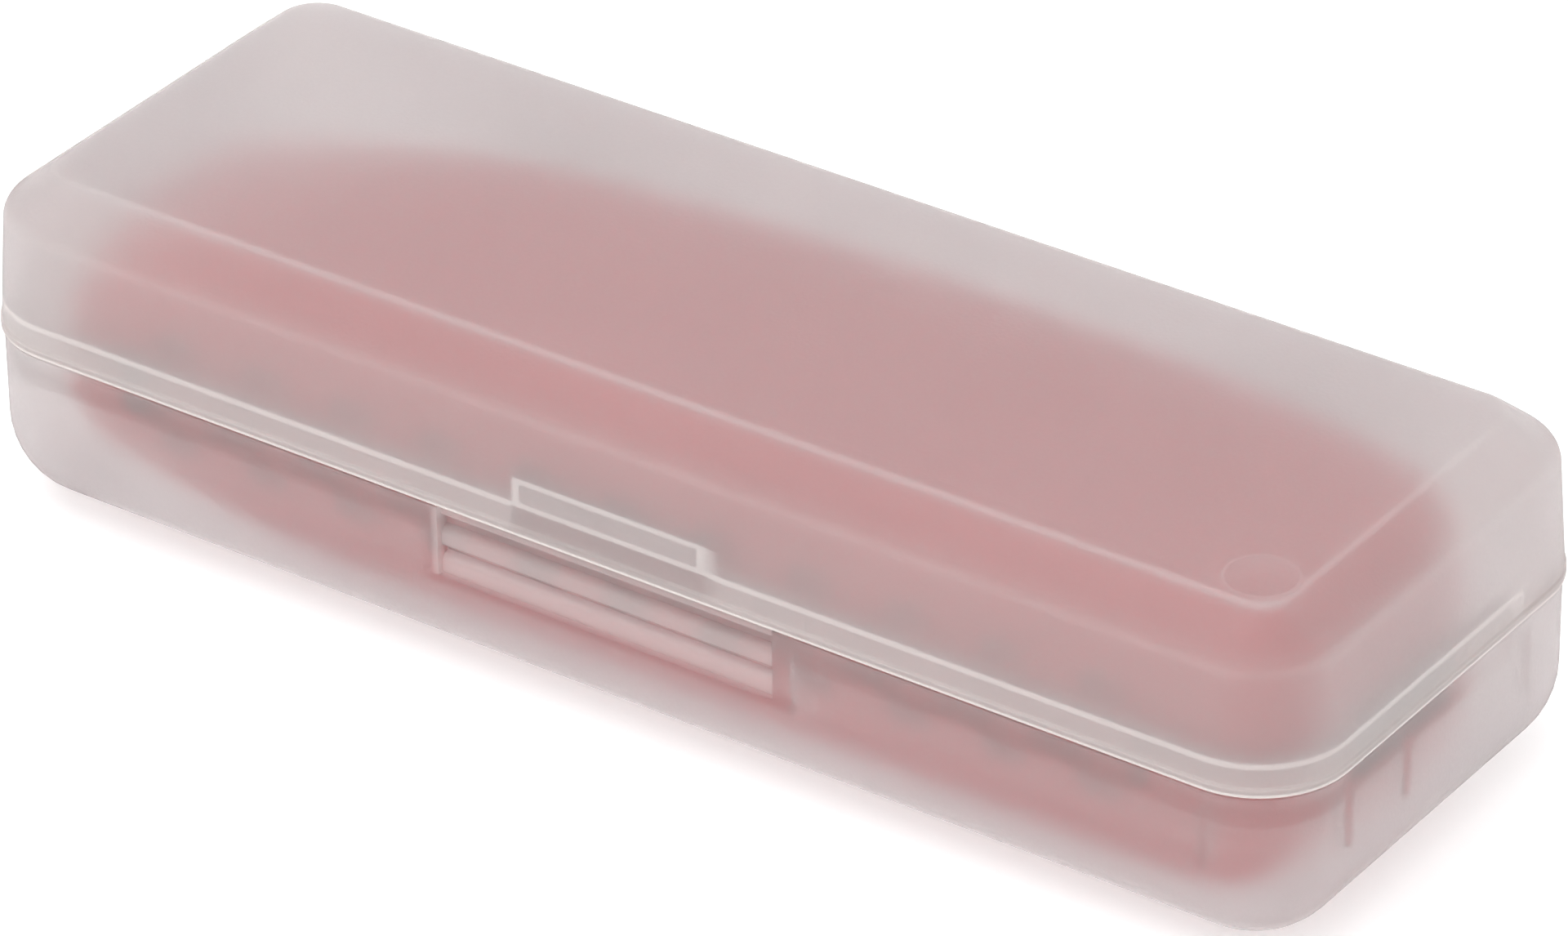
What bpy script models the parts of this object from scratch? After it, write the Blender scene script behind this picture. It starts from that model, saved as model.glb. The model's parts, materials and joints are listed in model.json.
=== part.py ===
"""Derma roller in a hinged storage case.

A clear two-part case holds a ventilated cradle, and the cradle holds a needle roller.
The frame stands on the case's flat bottom: +X runs along the case, -Y is the catch side,
+Y is the hinge side and +Z is up. Geometry is written in case coordinates, whose origin is
the middle of the case's footprint, and an empty carries it to the middle of the whole box.
"""
import math

import bmesh
import bpy
from mathutils import Vector

MM = 0.001
GAP = 0.3 * MM

# --- Case ---------------------------------------------------------------------------------
HALF_LENGTH = 75.0 * MM
HALF_WIDTH = 26.84 * MM
CASE_HEIGHT = 35.02 * MM
PARTING = 18.18 * MM
CORNER_RADIUS = 9.5 * MM
CORNER_STEPS = 5

BASE_INSET = 0.31 * MM
BASE_WALL = 1.5 * MM
FLOOR = 1.6 * MM
BOTTOM_RADIUS = 8.85 * MM
BOTTOM_STEPS = 4

LID_WALL = 1.3 * MM
BEAD = 0.15 * MM
BEAD_TOP = 1.1 * MM
SHOULDER_HEIGHT = 12.74 * MM
SHOULDER_INSET = 0.91 * MM
PLATEAU_INSET = 5.87 * MM
PLATEAU_RADIUS = 3.6 * MM

LIP_OUTER_INSET = 2.0 * MM
LIP_INNER_INSET = 3.1 * MM
LIP_TOP = 2.7 * MM
LIP_ROOT = 3.7 * MM
LIP_END_Y = 11.7 * MM

CATCH_X = (-10.3 * MM, 11.0 * MM)
CATCH_TOP = 5.2 * MM
RECESS_X = (-18.3 * MM, 19.4 * MM)
RECESS_DEPTH = 1.3 * MM
RECESS_BOTTOM = 7.5 * MM
RIB_PITCH = 2.8 * MM
RIB_HEIGHT = 0.75 * MM

MARK_CENTER = (65.2 * MM, -16.65 * MM)
MARK_RADIUS = 3.5 * MM
MARK_DEPTH = 0.2 * MM

# --- Hinge --------------------------------------------------------------------------------
HINGE_Y = HALF_WIDTH + 2.75 * MM
KNUCKLE_RADIUS = 2.1 * MM
PIN_RADIUS = 0.8 * MM
PIN_HOLE_RADIUS = 0.95 * MM
HINGE_STATIONS = {"left": -42.0 * MM, "right": 42.0 * MM}
LID_KNUCKLE_HALF = 4.0 * MM
BASE_KNUCKLE_LENGTH = 5.0 * MM

# --- Cradle -------------------------------------------------------------------------------
CRADLE_WALL = 1.4 * MM
CRADLE_LEFT = -67.5 * MM
CRADLE_RIGHT = 71.6 * MM
CRADLE_FRONT = -23.3 * MM
CRADLE_BACK = 16.6 * MM
CRADLE_END_RADIUS = 7.0 * MM
CRADLE_TAPER_START = -30.0 * MM
COVER_HEIGHT = 14.1 * MM
COVER_TAIL_HEIGHT = 7.6 * MM
COVER_CORNER = 5.5 * MM
COVER_CROWN = 0.6 * MM
TRAY_HEIGHT = 14.7 * MM
TRAY_TAIL_HEIGHT = 8.5 * MM
TRAY_CORNER = 4.5 * MM
TRAY_NOSE_START = 58.0 * MM
TRAY_NOSE_RISE = 3.0 * MM

SLOT_PITCH = 10.4 * MM
SLOT_WIDTH = 4.8 * MM
SLOT_FIRST = -50.7 * MM
SLOT_COUNT = 11
COVER_SLOT_HEIGHT = 6.0 * MM
TRAY_SLOT_HEIGHT = 6.8 * MM
VENT_X = (-57.5 * MM, 58.5 * MM)
END_VENT_Y = (-13.5 * MM, 3.5 * MM)
COVER_VENT_HEIGHT = 2.7 * MM
TRAY_VENT_HEIGHT = 3.7 * MM

LINER_X = (-56.0 * MM, 57.0 * MM)
LINER_SETBACK = 1.8 * MM
LINER_THICKNESS = 0.8 * MM
LINER_Z = (PARTING - 8.5 * MM, PARTING + 5.5 * MM)
LINER_STEPS = 12
SADDLES_X = (-40.0 * MM, 28.0 * MM)
SADDLE_THICKNESS = 2.0 * MM
FEET_X = (-28.0 * MM, 60.0 * MM)
FEET_Y = (-12.0 * MM, 2.0 * MM)
FOOT_RADIUS = 2.0 * MM

# --- Roller -------------------------------------------------------------------------------
ROLLER_Y = -5.0 * MM
DRUM_X = 58.5 * MM
DRUM_Z = 14.6 * MM
AXLE_RADIUS = 1.2 * MM
BORE_RADIUS = 1.35 * MM
CORE_RADIUS = 6.1 * MM
DISC_BORE = 6.3 * MM
DISC_ROOT = 7.7 * MM
NEEDLE_TIP = 9.3 * MM
NEEDLES_PER_DISC = 20
DISC_COUNT = 10
DISC_PITCH = 1.9 * MM
DISC_THICKNESS = 0.4 * MM
SPACER_RADIUS = 8.0 * MM
SPACER_THICKNESS = 1.0 * MM
DRUM_HALF = 10.2 * MM
DRUM_CAP_THICKNESS = 1.0 * MM
ARM_INNER = 10.6 * MM
ARM_THICKNESS = 2.3 * MM
FORK_THICKNESS = 7.0 * MM
AXLE_CAP_RADIUS = 2.4 * MM
AXLE_CAP_THICKNESS = 0.9 * MM

HANDLE_FRONT = 38.0 * MM
HANDLE_TAIL = -58.0 * MM
HANDLE_END_HALF_WIDTH = 6.8 * MM
HANDLE_END_HALF_HEIGHT = 5.0 * MM
HANDLE_SWELL_WIDTH = 4.2 * MM
HANDLE_SWELL_HEIGHT = 2.8 * MM
HANDLE_WALL = 1.6 * MM
GRIP_X = (-26.0 * MM, 20.0 * MM)
GRIP_THICKNESS = 1.2 * MM
PROFILE_STEPS = 8
COLLAR_LENGTH = 3.0 * MM

SHANK_RADIUS = 3.0 * MM
SHANK_OVERLAP = 14.0 * MM
FORK_WAIST_X = 43.6 * MM
FORK_BRIDGE_X = 45.5 * MM
FORK_TIP_REACH = 4.2 * MM

CASE_CENTER_Y = -(HINGE_Y + KNUCKLE_RADIUS - HALF_WIDTH) / 2


# --- Scene and material helpers -----------------------------------------------------------
def clear_scene():
    for obj in list(bpy.data.objects):
        bpy.data.objects.remove(obj, do_unlink=True)


def make_material(name, color, roughness, metallic=0.0, transmission=0.0):
    mat = bpy.data.materials.new(name)
    mat.use_nodes = True
    shader = mat.node_tree.nodes["Principled BSDF"]
    shader.inputs["Base Color"].default_value = (*color, 1.0)
    shader.inputs["Roughness"].default_value = roughness
    shader.inputs["Metallic"].default_value = metallic
    shader.inputs["Transmission Weight"].default_value = transmission
    mat.diffuse_color = (*color, 1.0)
    return mat


def make_empty(name, location, parent=None):
    """Add an empty at a place given in case coordinates."""
    empty = bpy.data.objects.new(name, None)
    empty["place"] = list(location)
    empty.parent = parent
    base = Vector(parent["place"]) if parent else Vector((0.0, -CASE_CENTER_Y, 0.0))
    empty.location = Vector(location) - base
    bpy.context.scene.collection.objects.link(empty)
    return empty


def make_object(name, geometry, mat, parent):
    """Build one closed object whose origin is on its parent empty."""
    verts, faces = geometry
    origin = Vector(parent["place"])
    mesh = bpy.data.meshes.new(name)
    mesh.from_pydata([Vector(v) - origin for v in verts], [], faces)
    work = bmesh.new()
    work.from_mesh(mesh)
    bmesh.ops.recalc_face_normals(work, faces=work.faces)
    work.to_mesh(mesh)
    work.free()
    if mat:
        mesh.materials.append(mat)
    obj = bpy.data.objects.new(name, mesh)
    obj.parent = parent
    bpy.context.scene.collection.objects.link(obj)
    return obj


def shade(obj, angle=math.radians(35)):
    obj.data.shade_smooth()
    obj.data.set_sharp_from_angle(angle=angle)


def boolean(obj, geometry, operation):
    """Leave a Boolean on the object, with its tool hidden from renders."""
    number = len(obj.modifiers) + 1
    tool = make_object(f"{obj.name}_tool_{number}", geometry, None, obj.parent)
    tool.hide_render = True
    tool.display_type = "WIRE"
    modifier = obj.modifiers.new(f"{operation.lower()}_{number}", "BOOLEAN")
    modifier.operation = operation
    modifier.object = tool
    modifier.solver = "EXACT"


# --- Geometry helpers: each returns (vertices, faces) in case coordinates --------------------
def join(*parts):
    verts, faces = [], []
    for part_verts, part_faces in parts:
        shift = len(verts)
        verts += part_verts
        faces += [[i + shift for i in face] for face in part_faces]
    return verts, faces


def loft(rings, closed=False):
    """Skin equal rings in order; the ends are capped, or joined to each other."""
    count = len(rings[0])
    verts = [point for ring in rings for point in ring]
    faces = []
    spans = len(rings) if closed else len(rings) - 1
    for i in range(spans):
        here, there = i * count, (i + 1) % len(rings) * count
        for j in range(count):
            k = (j + 1) % count
            faces.append([here + j, here + k, there + k, there + j])
    if not closed:
        faces.append(list(range(count))[::-1])
        faces.append(list(range(len(verts) - count, len(verts))))
    return verts, faces


def rounded_outline(half_x, half_y, radius, steps=CORNER_STEPS):
    """Corner points of a rounded rectangle, anticlockwise from its +X side."""
    centers = ((1, 1), (-1, 1), (-1, -1), (1, -1))
    points = []
    for quarter, (sx, sy) in enumerate(centers):
        for step in range(steps + 1):
            angle = math.radians(90 * (quarter + step / steps))
            x = sx * (half_x - radius) + radius * math.cos(angle)
            y = sy * (half_y - radius) + radius * math.sin(angle)
            points.append((x, y))
    return points


def case_ring(inset, z, radius):
    outline = rounded_outline(HALF_LENGTH - inset, HALF_WIDTH - inset, radius)
    return [(x, y, z) for x, y in outline]


def prism_x(outline, x0, x1):
    return loft([[(x, y, z) for y, z in outline] for x in (x0, x1)])


def prism_z(outline, z0, z1):
    return loft([[(x, y, z) for x, y in outline] for z in (z0, z1)])


def box(x0, x1, y0, y1, z0, z1):
    return prism_z([(x0, y0), (x1, y0), (x1, y1), (x0, y1)], z0, z1)


def arc(center, radius, start, end, steps):
    angles = [math.radians(start + (end - start) * i / steps) for i in range(steps + 1)]
    return [(center[0] + radius * math.cos(a), center[1] + radius * math.sin(a)) for a in angles]


def circle(center, radius, steps):
    return arc(center, radius, 0, 360, steps)[:-1]


def disc_y(y0, y1, radius, steps=16):
    """A solid disc on the drum's axis, from y0 to y1 measured from the roller's middle."""
    outline = circle((DRUM_X, DRUM_Z), radius, steps)
    return loft([[(x, ROLLER_Y + y, z) for x, z in outline] for y in (y0, y1)])


def tube_y(y0, y1, inner, outer, steps=16):
    """A tube on the drum's axis, from y0 to y1 measured from the roller's middle."""
    corners = ((inner, y0), (outer, y0), (outer, y1), (inner, y1))
    rings = []
    for radius, y in corners:
        outline = circle((DRUM_X, DRUM_Z), radius, steps)
        rings.append([(x, ROLLER_Y + y, z) for x, z in outline])
    return loft(rings, closed=True)


# --- Case -----------------------------------------------------------------------------------
def base_shell():
    def skin(inset, floor, radius):
        rings = []
        for step in range(BOTTOM_STEPS + 1):
            angle = math.radians(90 - 90 * step / BOTTOM_STEPS)
            tuck = radius * (1 - math.cos(angle))
            z = floor + radius * (1 - math.sin(angle))
            corner = max(CORNER_RADIUS - inset - tuck, 0.5 * MM)
            rings.append(case_ring(inset + tuck, z, corner))
        rings.append(case_ring(inset, PARTING - GAP / 2, CORNER_RADIUS - inset))
        return rings

    outer = skin(BASE_INSET, 0.0, BOTTOM_RADIUS)
    inner = skin(BASE_INSET + BASE_WALL, FLOOR, BOTTOM_RADIUS - BASE_WALL)
    return loft(outer + inner[::-1])


def lip_rail():
    """The tongue inside the lid: along the front and both sides, open at the hinge side."""
    root = PARTING - LIP_ROOT
    buried = BASE_INSET + BASE_WALL / 2
    profile = (
        (buried, root),
        (LIP_INNER_INSET, root + 1.2 * MM),
        (LIP_INNER_INSET, PARTING + LIP_TOP),
        (LIP_OUTER_INSET, PARTING + LIP_TOP),
        (LIP_OUTER_INSET, PARTING - 2 * GAP),
        (buried, PARTING - 2 * GAP),
    )

    def path(inset):
        radius = CORNER_RADIUS - inset
        front = rounded_outline(HALF_LENGTH - inset, HALF_WIDTH - inset, radius)
        front = front[len(front) // 2:]
        x = HALF_LENGTH - inset
        return [(-x, LIP_END_Y)] + front + [(x, LIP_END_Y)]

    rows = [path(inset) for inset, _ in profile]
    rings = []
    for index in range(len(rows[0])):
        rings.append([(*rows[k][index], profile[k][1]) for k in range(len(profile))])
    return loft(rings)


def catch_tongue():
    inner = -HALF_WIDTH + LIP_INNER_INSET - 0.1 * MM
    outer = -HALF_WIDTH + LIP_OUTER_INSET + 0.05 * MM
    ridge = outer - 0.15 * MM
    outline = [
        (outer, PARTING - 1.0 * MM),
        (outer, PARTING + 2.0 * MM),
        (ridge, PARTING + 2.5 * MM),
        (outer, PARTING + 3.2 * MM),
        (outer + 0.25 * MM, PARTING + CATCH_TOP),
        (inner, PARTING + CATCH_TOP),
        (inner, PARTING - 1.0 * MM),
    ]
    return prism_x(outline, *CATCH_X)


def recess_pad():
    """Extra thickness behind the thumb recess."""
    margin = 1.5 * MM
    return box(
        RECESS_X[0] - margin, RECESS_X[1] + margin,
        -HALF_WIDTH + BASE_INSET + BASE_WALL / 2, -HALF_WIDTH + LIP_INNER_INSET - 0.2 * MM,
        PARTING - RECESS_BOTTOM - margin, PARTING - 3 * GAP,
    )


def recess_cutter():
    """The thumb recess, with a wavy floor of three horizontal ribs."""
    face = -HALF_WIDTH + BASE_INSET
    outside = face - 1.0 * MM
    crests = [PARTING - 0.4 * MM - RIB_PITCH * i for i in range(3)]
    outline = [(outside, PARTING - RECESS_BOTTOM)]
    for crest in reversed(crests):
        for step in range(-4, 5):
            u = step / 4
            depth = RECESS_DEPTH - RIB_HEIGHT * math.sqrt(max(0.0, 1 - u * u))
            z = crest + u * RIB_PITCH * 0.49
            outline.append((face + depth, max(z, PARTING - RECESS_BOTTOM + 0.1 * MM)))
    outline.append((outside, PARTING + RIB_PITCH))
    return prism_x(outline, *RECESS_X)


def locating_ribs():
    """Small upright ribs that keep the cradle off the end walls."""
    parts = []
    wall = HALF_LENGTH - BASE_INSET - BASE_WALL / 2
    for side, reach in ((1, 2.1 * MM), (-1, 4.5 * MM)):
        for y in (-15.2 * MM, -5.4 * MM):
            x0, x1 = sorted((side * wall, side * (wall - reach)))
            parts.append(box(x0, x1, y - 0.5 * MM, y + 0.5 * MM, 8.6 * MM, PARTING - LIP_ROOT + 1.5 * MM))
    return join(*parts)


def knuckle(side, x0, x1):
    """A hinge knuckle and its arm: side -1 hangs from the base wall, +1 from the lid wall."""
    wall_y = HALF_WIDTH - SHOULDER_INSET
    start = math.degrees(math.asin(1.5 * GAP / KNUCKLE_RADIUS))
    ring = arc((HINGE_Y, 0.0), KNUCKLE_RADIUS, 180 + start, -70, 14)
    near = [(wall_y, -6.2 * MM), (wall_y, -1.5 * GAP)]
    outline = [(y, PARTING - side * z) for y, z in near + ring]
    return prism_x(outline, x0, x1)


def base_knuckles(station):
    inner = LID_KNUCKLE_HALF + GAP
    outer = inner + BASE_KNUCKLE_LENGTH
    return join(
        knuckle(-1, station - outer, station - inner),
        knuckle(-1, station + inner, station + outer),
    )


def pin_cylinder(station, radius, length):
    outline = circle((HINGE_Y, PARTING), radius, 16)
    return prism_x(outline, station - length / 2, station + length / 2)


def lid_shell():
    slope = math.atan2(CASE_HEIGHT - PARTING - SHOULDER_HEIGHT, PLATEAU_INSET - SHOULDER_INSET)
    ceiling = CASE_HEIGHT - LID_WALL
    shoulder_z = PARTING + SHOULDER_HEIGHT
    inner_inset = SHOULDER_INSET + LID_WALL
    edge = (SHOULDER_INSET + LID_WALL * math.sin(slope), shoulder_z - LID_WALL * math.cos(slope))
    inner_shoulder_z = edge[1] + (inner_inset - edge[0]) * math.tan(slope)
    inner_plateau = edge[0] + (ceiling - edge[1]) / math.tan(slope)
    rim = PARTING + GAP / 2
    small = 0.5 * MM
    outer = [
        (PLATEAU_INSET + small, CASE_HEIGHT, PLATEAU_RADIUS - small),
        (PLATEAU_INSET - small, CASE_HEIGHT - small * 0.5, PLATEAU_RADIUS + small),
        (SHOULDER_INSET + small, shoulder_z + small * 0.6, CORNER_RADIUS - SHOULDER_INSET),
        (SHOULDER_INSET, shoulder_z - small * 0.6, CORNER_RADIUS - SHOULDER_INSET),
        (BEAD, PARTING + BEAD_TOP, CORNER_RADIUS - BEAD),
        (0.0, PARTING + BEAD_TOP - 2 * BEAD, CORNER_RADIUS),
        (0.0, rim + BEAD, CORNER_RADIUS),
        (BEAD, rim, CORNER_RADIUS - BEAD),
    ]
    inner = [
        (BEAD + LID_WALL, rim, CORNER_RADIUS - BEAD - LID_WALL),
        (inner_inset, inner_shoulder_z, CORNER_RADIUS - inner_inset),
        (inner_plateau, ceiling, PLATEAU_RADIUS - small),
    ]
    return loft([case_ring(*row) for row in outer + inner])


def moulding_mark():
    outline = circle(MARK_CENTER, MARK_RADIUS, 24)
    return prism_z(outline, CASE_HEIGHT - MARK_DEPTH, CASE_HEIGHT + 1.0 * MM)


def build_case(root, lid_axis, materials):
    base = make_object("case_base", base_shell(), materials["case"], root)
    boolean(base, lip_rail(), "UNION")
    boolean(base, recess_pad(), "UNION")
    boolean(base, catch_tongue(), "UNION")
    boolean(base, locating_ribs(), "UNION")
    lid = make_object("case_lid", lid_shell(), materials["case"], lid_axis)
    pin_length = 2 * (LID_KNUCKLE_HALF + GAP + BASE_KNUCKLE_LENGTH)
    for side, station in HINGE_STATIONS.items():
        boolean(base, base_knuckles(station), "UNION")
        boolean(lid, knuckle(1, station - LID_KNUCKLE_HALF, station + LID_KNUCKLE_HALF), "UNION")
        bore = pin_cylinder(station, PIN_HOLE_RADIUS, pin_length + 2 * MM)
        boolean(base, bore, "DIFFERENCE")
        boolean(lid, bore, "DIFFERENCE")
        pin = pin_cylinder(station, PIN_RADIUS, pin_length)
        shade(make_object(f"hinge_pin_{side}", pin, materials["steel"], root))
    boolean(base, recess_cutter(), "DIFFERENCE")
    boolean(lid, moulding_mark(), "DIFFERENCE")
    shade(base)
    shade(lid)


# --- Cradle ---------------------------------------------------------------------------------
def cradle_back(x):
    """The bowed edge on the hinge side."""
    bow = (x - 18.0 * MM) / MM
    if bow > 0:
        return CRADLE_BACK - 6.0 * MM * (bow / 51.0) ** 3.2
    return CRADLE_BACK - 3.5 * MM * (-bow / 48.0) ** 2.3


def cradle_height(x, full, tail):
    """Full height over most of the length, easing down to the tail height at the left end."""
    u = (x - CRADLE_LEFT) / (CRADLE_TAPER_START - CRADLE_LEFT)
    u = min(max(u, 0.0), 1.0)
    return tail + (full - tail) * math.sin(u * math.pi / 2)


def cradle_section(x, end_inset, wall, full, tail, corner, crown, sign):
    """Half of the cradle's cross-section at x, from the front rim over to the back rim."""
    inset = wall + end_inset
    y0 = CRADLE_FRONT + inset
    y1 = cradle_back(x) - inset
    height = cradle_height(x, full, tail) - inset
    if sign < 0:
        nose = max(0.0, (x - TRAY_NOSE_START) / (CRADLE_RIGHT - TRAY_NOSE_START))
        height -= TRAY_NOSE_RISE * nose ** 2
    radius = min(corner - wall, height * 0.8)
    rim = GAP / 2
    across = arc((y0 + radius, height - radius), radius, 180, 90, 4)
    for step in (1, 2, 3):
        u = step / 4
        rise = crown * (1 - (2 * u - 1) ** 2)
        across.append((y0 + radius + (y1 - y0 - 2 * radius) * u, height + rise))
    across += arc((y1 - radius, height - radius), radius, 90, 0, 4)
    points = [(y0, rim)] + across + [(y1, rim)]
    return [(x, y, PARTING + sign * z) for y, z in points]


def cradle_skin(wall, full, tail, corner, crown, sign):
    radius = CRADLE_END_RADIUS - wall
    left, right = CRADLE_LEFT + wall, CRADLE_RIGHT - wall
    rounding = [radius * (1 - math.cos(math.radians(a))) for a in (0, 30, 60, 90)]
    places = [(left + d, radius - math.sqrt(radius ** 2 - (radius - d) ** 2)) for d in rounding]
    middle = 12
    span = right - left - 2 * radius
    places += [(left + radius + span * i / middle, 0.0) for i in range(1, middle)]
    places += [(right - d, radius - math.sqrt(radius ** 2 - (radius - d) ** 2)) for d in rounding[::-1]]
    return [cradle_section(x, e, wall, full, tail, corner, crown, sign) for x, e in places]


def cradle_half(full, tail, corner, crown, sign):
    """An open shell: outer skin, inner skin and the rim between them."""
    outer = cradle_skin(0.0, full, tail, corner, crown, sign)
    inner = cradle_skin(CRADLE_WALL, full, tail, corner, crown, sign)
    rows, count = len(outer), len(outer[0])
    verts = [p for ring in outer + inner for p in ring]
    shift = rows * count
    faces = []
    for start in (0, shift):
        for i in range(rows - 1):
            for j in range(count - 1):
                a = start + i * count + j
                faces.append([a, a + 1, a + count + 1, a + count])
        faces.append([start + j for j in range(count)])
        faces.append([start + (rows - 1) * count + j for j in range(count)])
    for j in (0, count - 1):
        for i in range(rows - 1):
            a = i * count + j
            faces.append([a, a + count, a + count + shift, a + shift])
    for i in (0, rows - 1):
        a, b = i * count, i * count + count - 1
        faces.append([a, b, b + shift, a + shift])
    return verts, faces


def cradle_slots(z0, z1):
    """Gaps that leave a row of bars along the front and back."""
    half = SLOT_WIDTH / 2
    parts = []
    for i in range(SLOT_COUNT):
        x = SLOT_FIRST + SLOT_PITCH * i
        parts.append(box(x - half, x + half, CRADLE_FRONT - MM, CRADLE_BACK + MM, z0, z1))
    return join(*parts)


def cradle_vent(z0, z1):
    """The long opening at the parting line that joins the gaps, and one in the right end."""
    return join(
        box(*VENT_X, CRADLE_FRONT - 2 * MM, CRADLE_BACK + 2 * MM, z0, z1),
        box(CRADLE_RIGHT - 2 * CRADLE_WALL, CRADLE_RIGHT + MM, *END_VENT_Y, z0, z1),
    )


def liner(side):
    """A low inner wall of the tray behind the openings: side -1 is the front, +1 the back."""
    rings = []
    for i in range(LINER_STEPS + 1):
        x = LINER_X[0] + (LINER_X[1] - LINER_X[0]) * i / LINER_STEPS
        skin = cradle_back(x) if side > 0 else CRADLE_FRONT
        near = skin - side * LINER_SETBACK
        far = near - side * LINER_THICKNESS
        corners = ((near, LINER_Z[0]), (near, LINER_Z[1]), (far, LINER_Z[1]), (far, LINER_Z[0]))
        rings.append([(x, y, z) for y, z in corners])
    return loft(rings)


def saddle(x):
    """A rib across the tray with a hollow that the handle lies in."""
    half_w, half_h, middle = handle_size(x)
    low = PARTING - cradle_height(x, TRAY_HEIGHT, TRAY_TAIL_HEIGHT) + CRADLE_WALL / 2
    clear = 1.0 + 2 * GAP / half_w
    notch = []
    for y, z in half_profile(half_w * clear, half_h * clear, -1):
        notch.append((y, min(middle + z, middle - 1.0 * MM)))
    reach = half_w + 4.0 * MM
    outline = [(ROLLER_Y - reach, low), (ROLLER_Y - reach, notch[0][1])]
    outline += notch
    outline += [(ROLLER_Y + reach, notch[-1][1]), (ROLLER_Y + reach, low)]
    return prism_x(outline, x - SADDLE_THICKNESS / 2, x + SADDLE_THICKNESS / 2)


def tray_feet():
    top = PARTING - TRAY_HEIGHT + CRADLE_WALL / 2
    parts = []
    for x in FEET_X:
        for y in FEET_Y:
            parts.append(prism_z(circle((x, y), FOOT_RADIUS, 12), FLOOR + GAP, top))
    return join(*parts)


def build_cradle(root, lid_axis, materials):
    above, below = PARTING + MM, PARTING - MM
    shell = cradle_half(TRAY_HEIGHT, TRAY_TAIL_HEIGHT, TRAY_CORNER, 0.0, -1)
    tray = make_object("cradle_tray", shell, materials["cradle"], root)
    boolean(tray, cradle_slots(PARTING - TRAY_SLOT_HEIGHT, above), "DIFFERENCE")
    boolean(tray, cradle_vent(PARTING - TRAY_VENT_HEIGHT, above + MM), "DIFFERENCE")
    boolean(tray, join(*(saddle(x) for x in SADDLES_X)), "UNION")
    boolean(tray, join(liner(-1), liner(1)), "UNION")
    boolean(tray, tray_feet(), "UNION")
    shade(tray)
    shell = cradle_half(COVER_HEIGHT, COVER_TAIL_HEIGHT, COVER_CORNER, COVER_CROWN, 1)
    cover = make_object("cradle_cover", shell, materials["cradle"], lid_axis)
    boolean(cover, cradle_slots(below, PARTING + COVER_SLOT_HEIGHT), "DIFFERENCE")
    boolean(cover, cradle_vent(below - MM, PARTING + COVER_VENT_HEIGHT), "DIFFERENCE")
    shade(cover)


# --- Handle ---------------------------------------------------------------------------------
def handle_size(x):
    """Half-width, half-height and middle height of the handle at x."""
    u = (x - HANDLE_TAIL) / (HANDLE_FRONT - HANDLE_TAIL)
    swell = math.sin(math.pi * min(max(u, 0.0), 1.0)) ** 0.8
    half_w = HANDLE_END_HALF_WIDTH + HANDLE_SWELL_WIDTH * swell
    half_h = HANDLE_END_HALF_HEIGHT + HANDLE_SWELL_HEIGHT * swell
    middle = DRUM_Z + (1.0 + 3.4 * (1 - u) ** 2) * MM
    return half_w, half_h, middle


def half_profile(half_w, half_h, sign, steps=PROFILE_STEPS, power=0.8):
    """Half of a rounded section, from its front edge over to its back edge."""
    points = []
    for i in range(steps + 1):
        t = math.pi * i / steps
        c, s = math.cos(t), math.sin(t)
        y = -half_w * math.copysign(abs(c) ** power, c)
        z = sign * half_h * abs(s) ** power
        points.append((ROLLER_Y + y, z))
    return points


def handle_stations():
    """Pairs of x and the outer skin's inset, with a step at each end of the grip."""
    step = GRIP_THICKNESS + GAP
    a, b = GRIP_X[0] - GAP, GRIP_X[1] + GAP
    places = [(HANDLE_TAIL + (a - HANDLE_TAIL) * i / 4, 0.0) for i in range(5)]
    places += [(a + 0.01 * MM + (b - a - 0.02 * MM) * i / 5, step) for i in range(6)]
    places += [(b + (HANDLE_FRONT - b) * i / 3, 0.0) for i in range(4)]
    return places


def handle_shell(sign):
    """Half of the hollow handle, above (+1) or below (-1) its split line."""
    outer, inner = [], []
    for x, inset in handle_stations():
        half_w, half_h, middle = handle_size(x)
        for rings, less in ((outer, inset), (inner, inset + HANDLE_WALL)):
            profile = half_profile(half_w - less, half_h - less, sign)
            rings.append([(x, y, middle + z + sign * GAP / 2) for y, z in profile])
    return loft([o + i[::-1] for o, i in zip(outer, inner)])


def handle_ring(x, inset, place=None):
    """Whole section of the handle at x, or that section drawn at another place along it."""
    half_w, half_h, middle = handle_size(x)
    upper = half_profile(half_w - inset, half_h - inset, 1)
    lower = half_profile(half_w - inset, half_h - inset, -1)
    at = x if place is None else place
    return [(at, y, middle + z) for y, z in upper + lower[-2:0:-1]]


def sleeve(x0, x1, outer_inset, inner_inset, steps=6):
    """A ring that follows the handle's section from x0 to x1."""
    places = [x0 + (x1 - x0) * i / steps for i in range(steps + 1)]
    rings = [handle_ring(x, outer_inset) for x in places]
    rings += [handle_ring(x, inner_inset) for x in reversed(places)]
    return loft(rings, closed=True)


def end_cap():
    """A domed plug that closes the handle's tail."""
    x = HANDLE_TAIL - GAP
    wall = HANDLE_WALL + GAP
    rows = (
        (x + 5.0 * MM, wall),
        (x, wall),
        (x, 0.0),
        (x - 1.2 * MM, 0.0),
        (x - 2.4 * MM, 0.9 * MM),
        (x - 3.0 * MM, 2.4 * MM),
    )
    return loft([handle_ring(HANDLE_TAIL, inset, place) for place, inset in rows])


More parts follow.
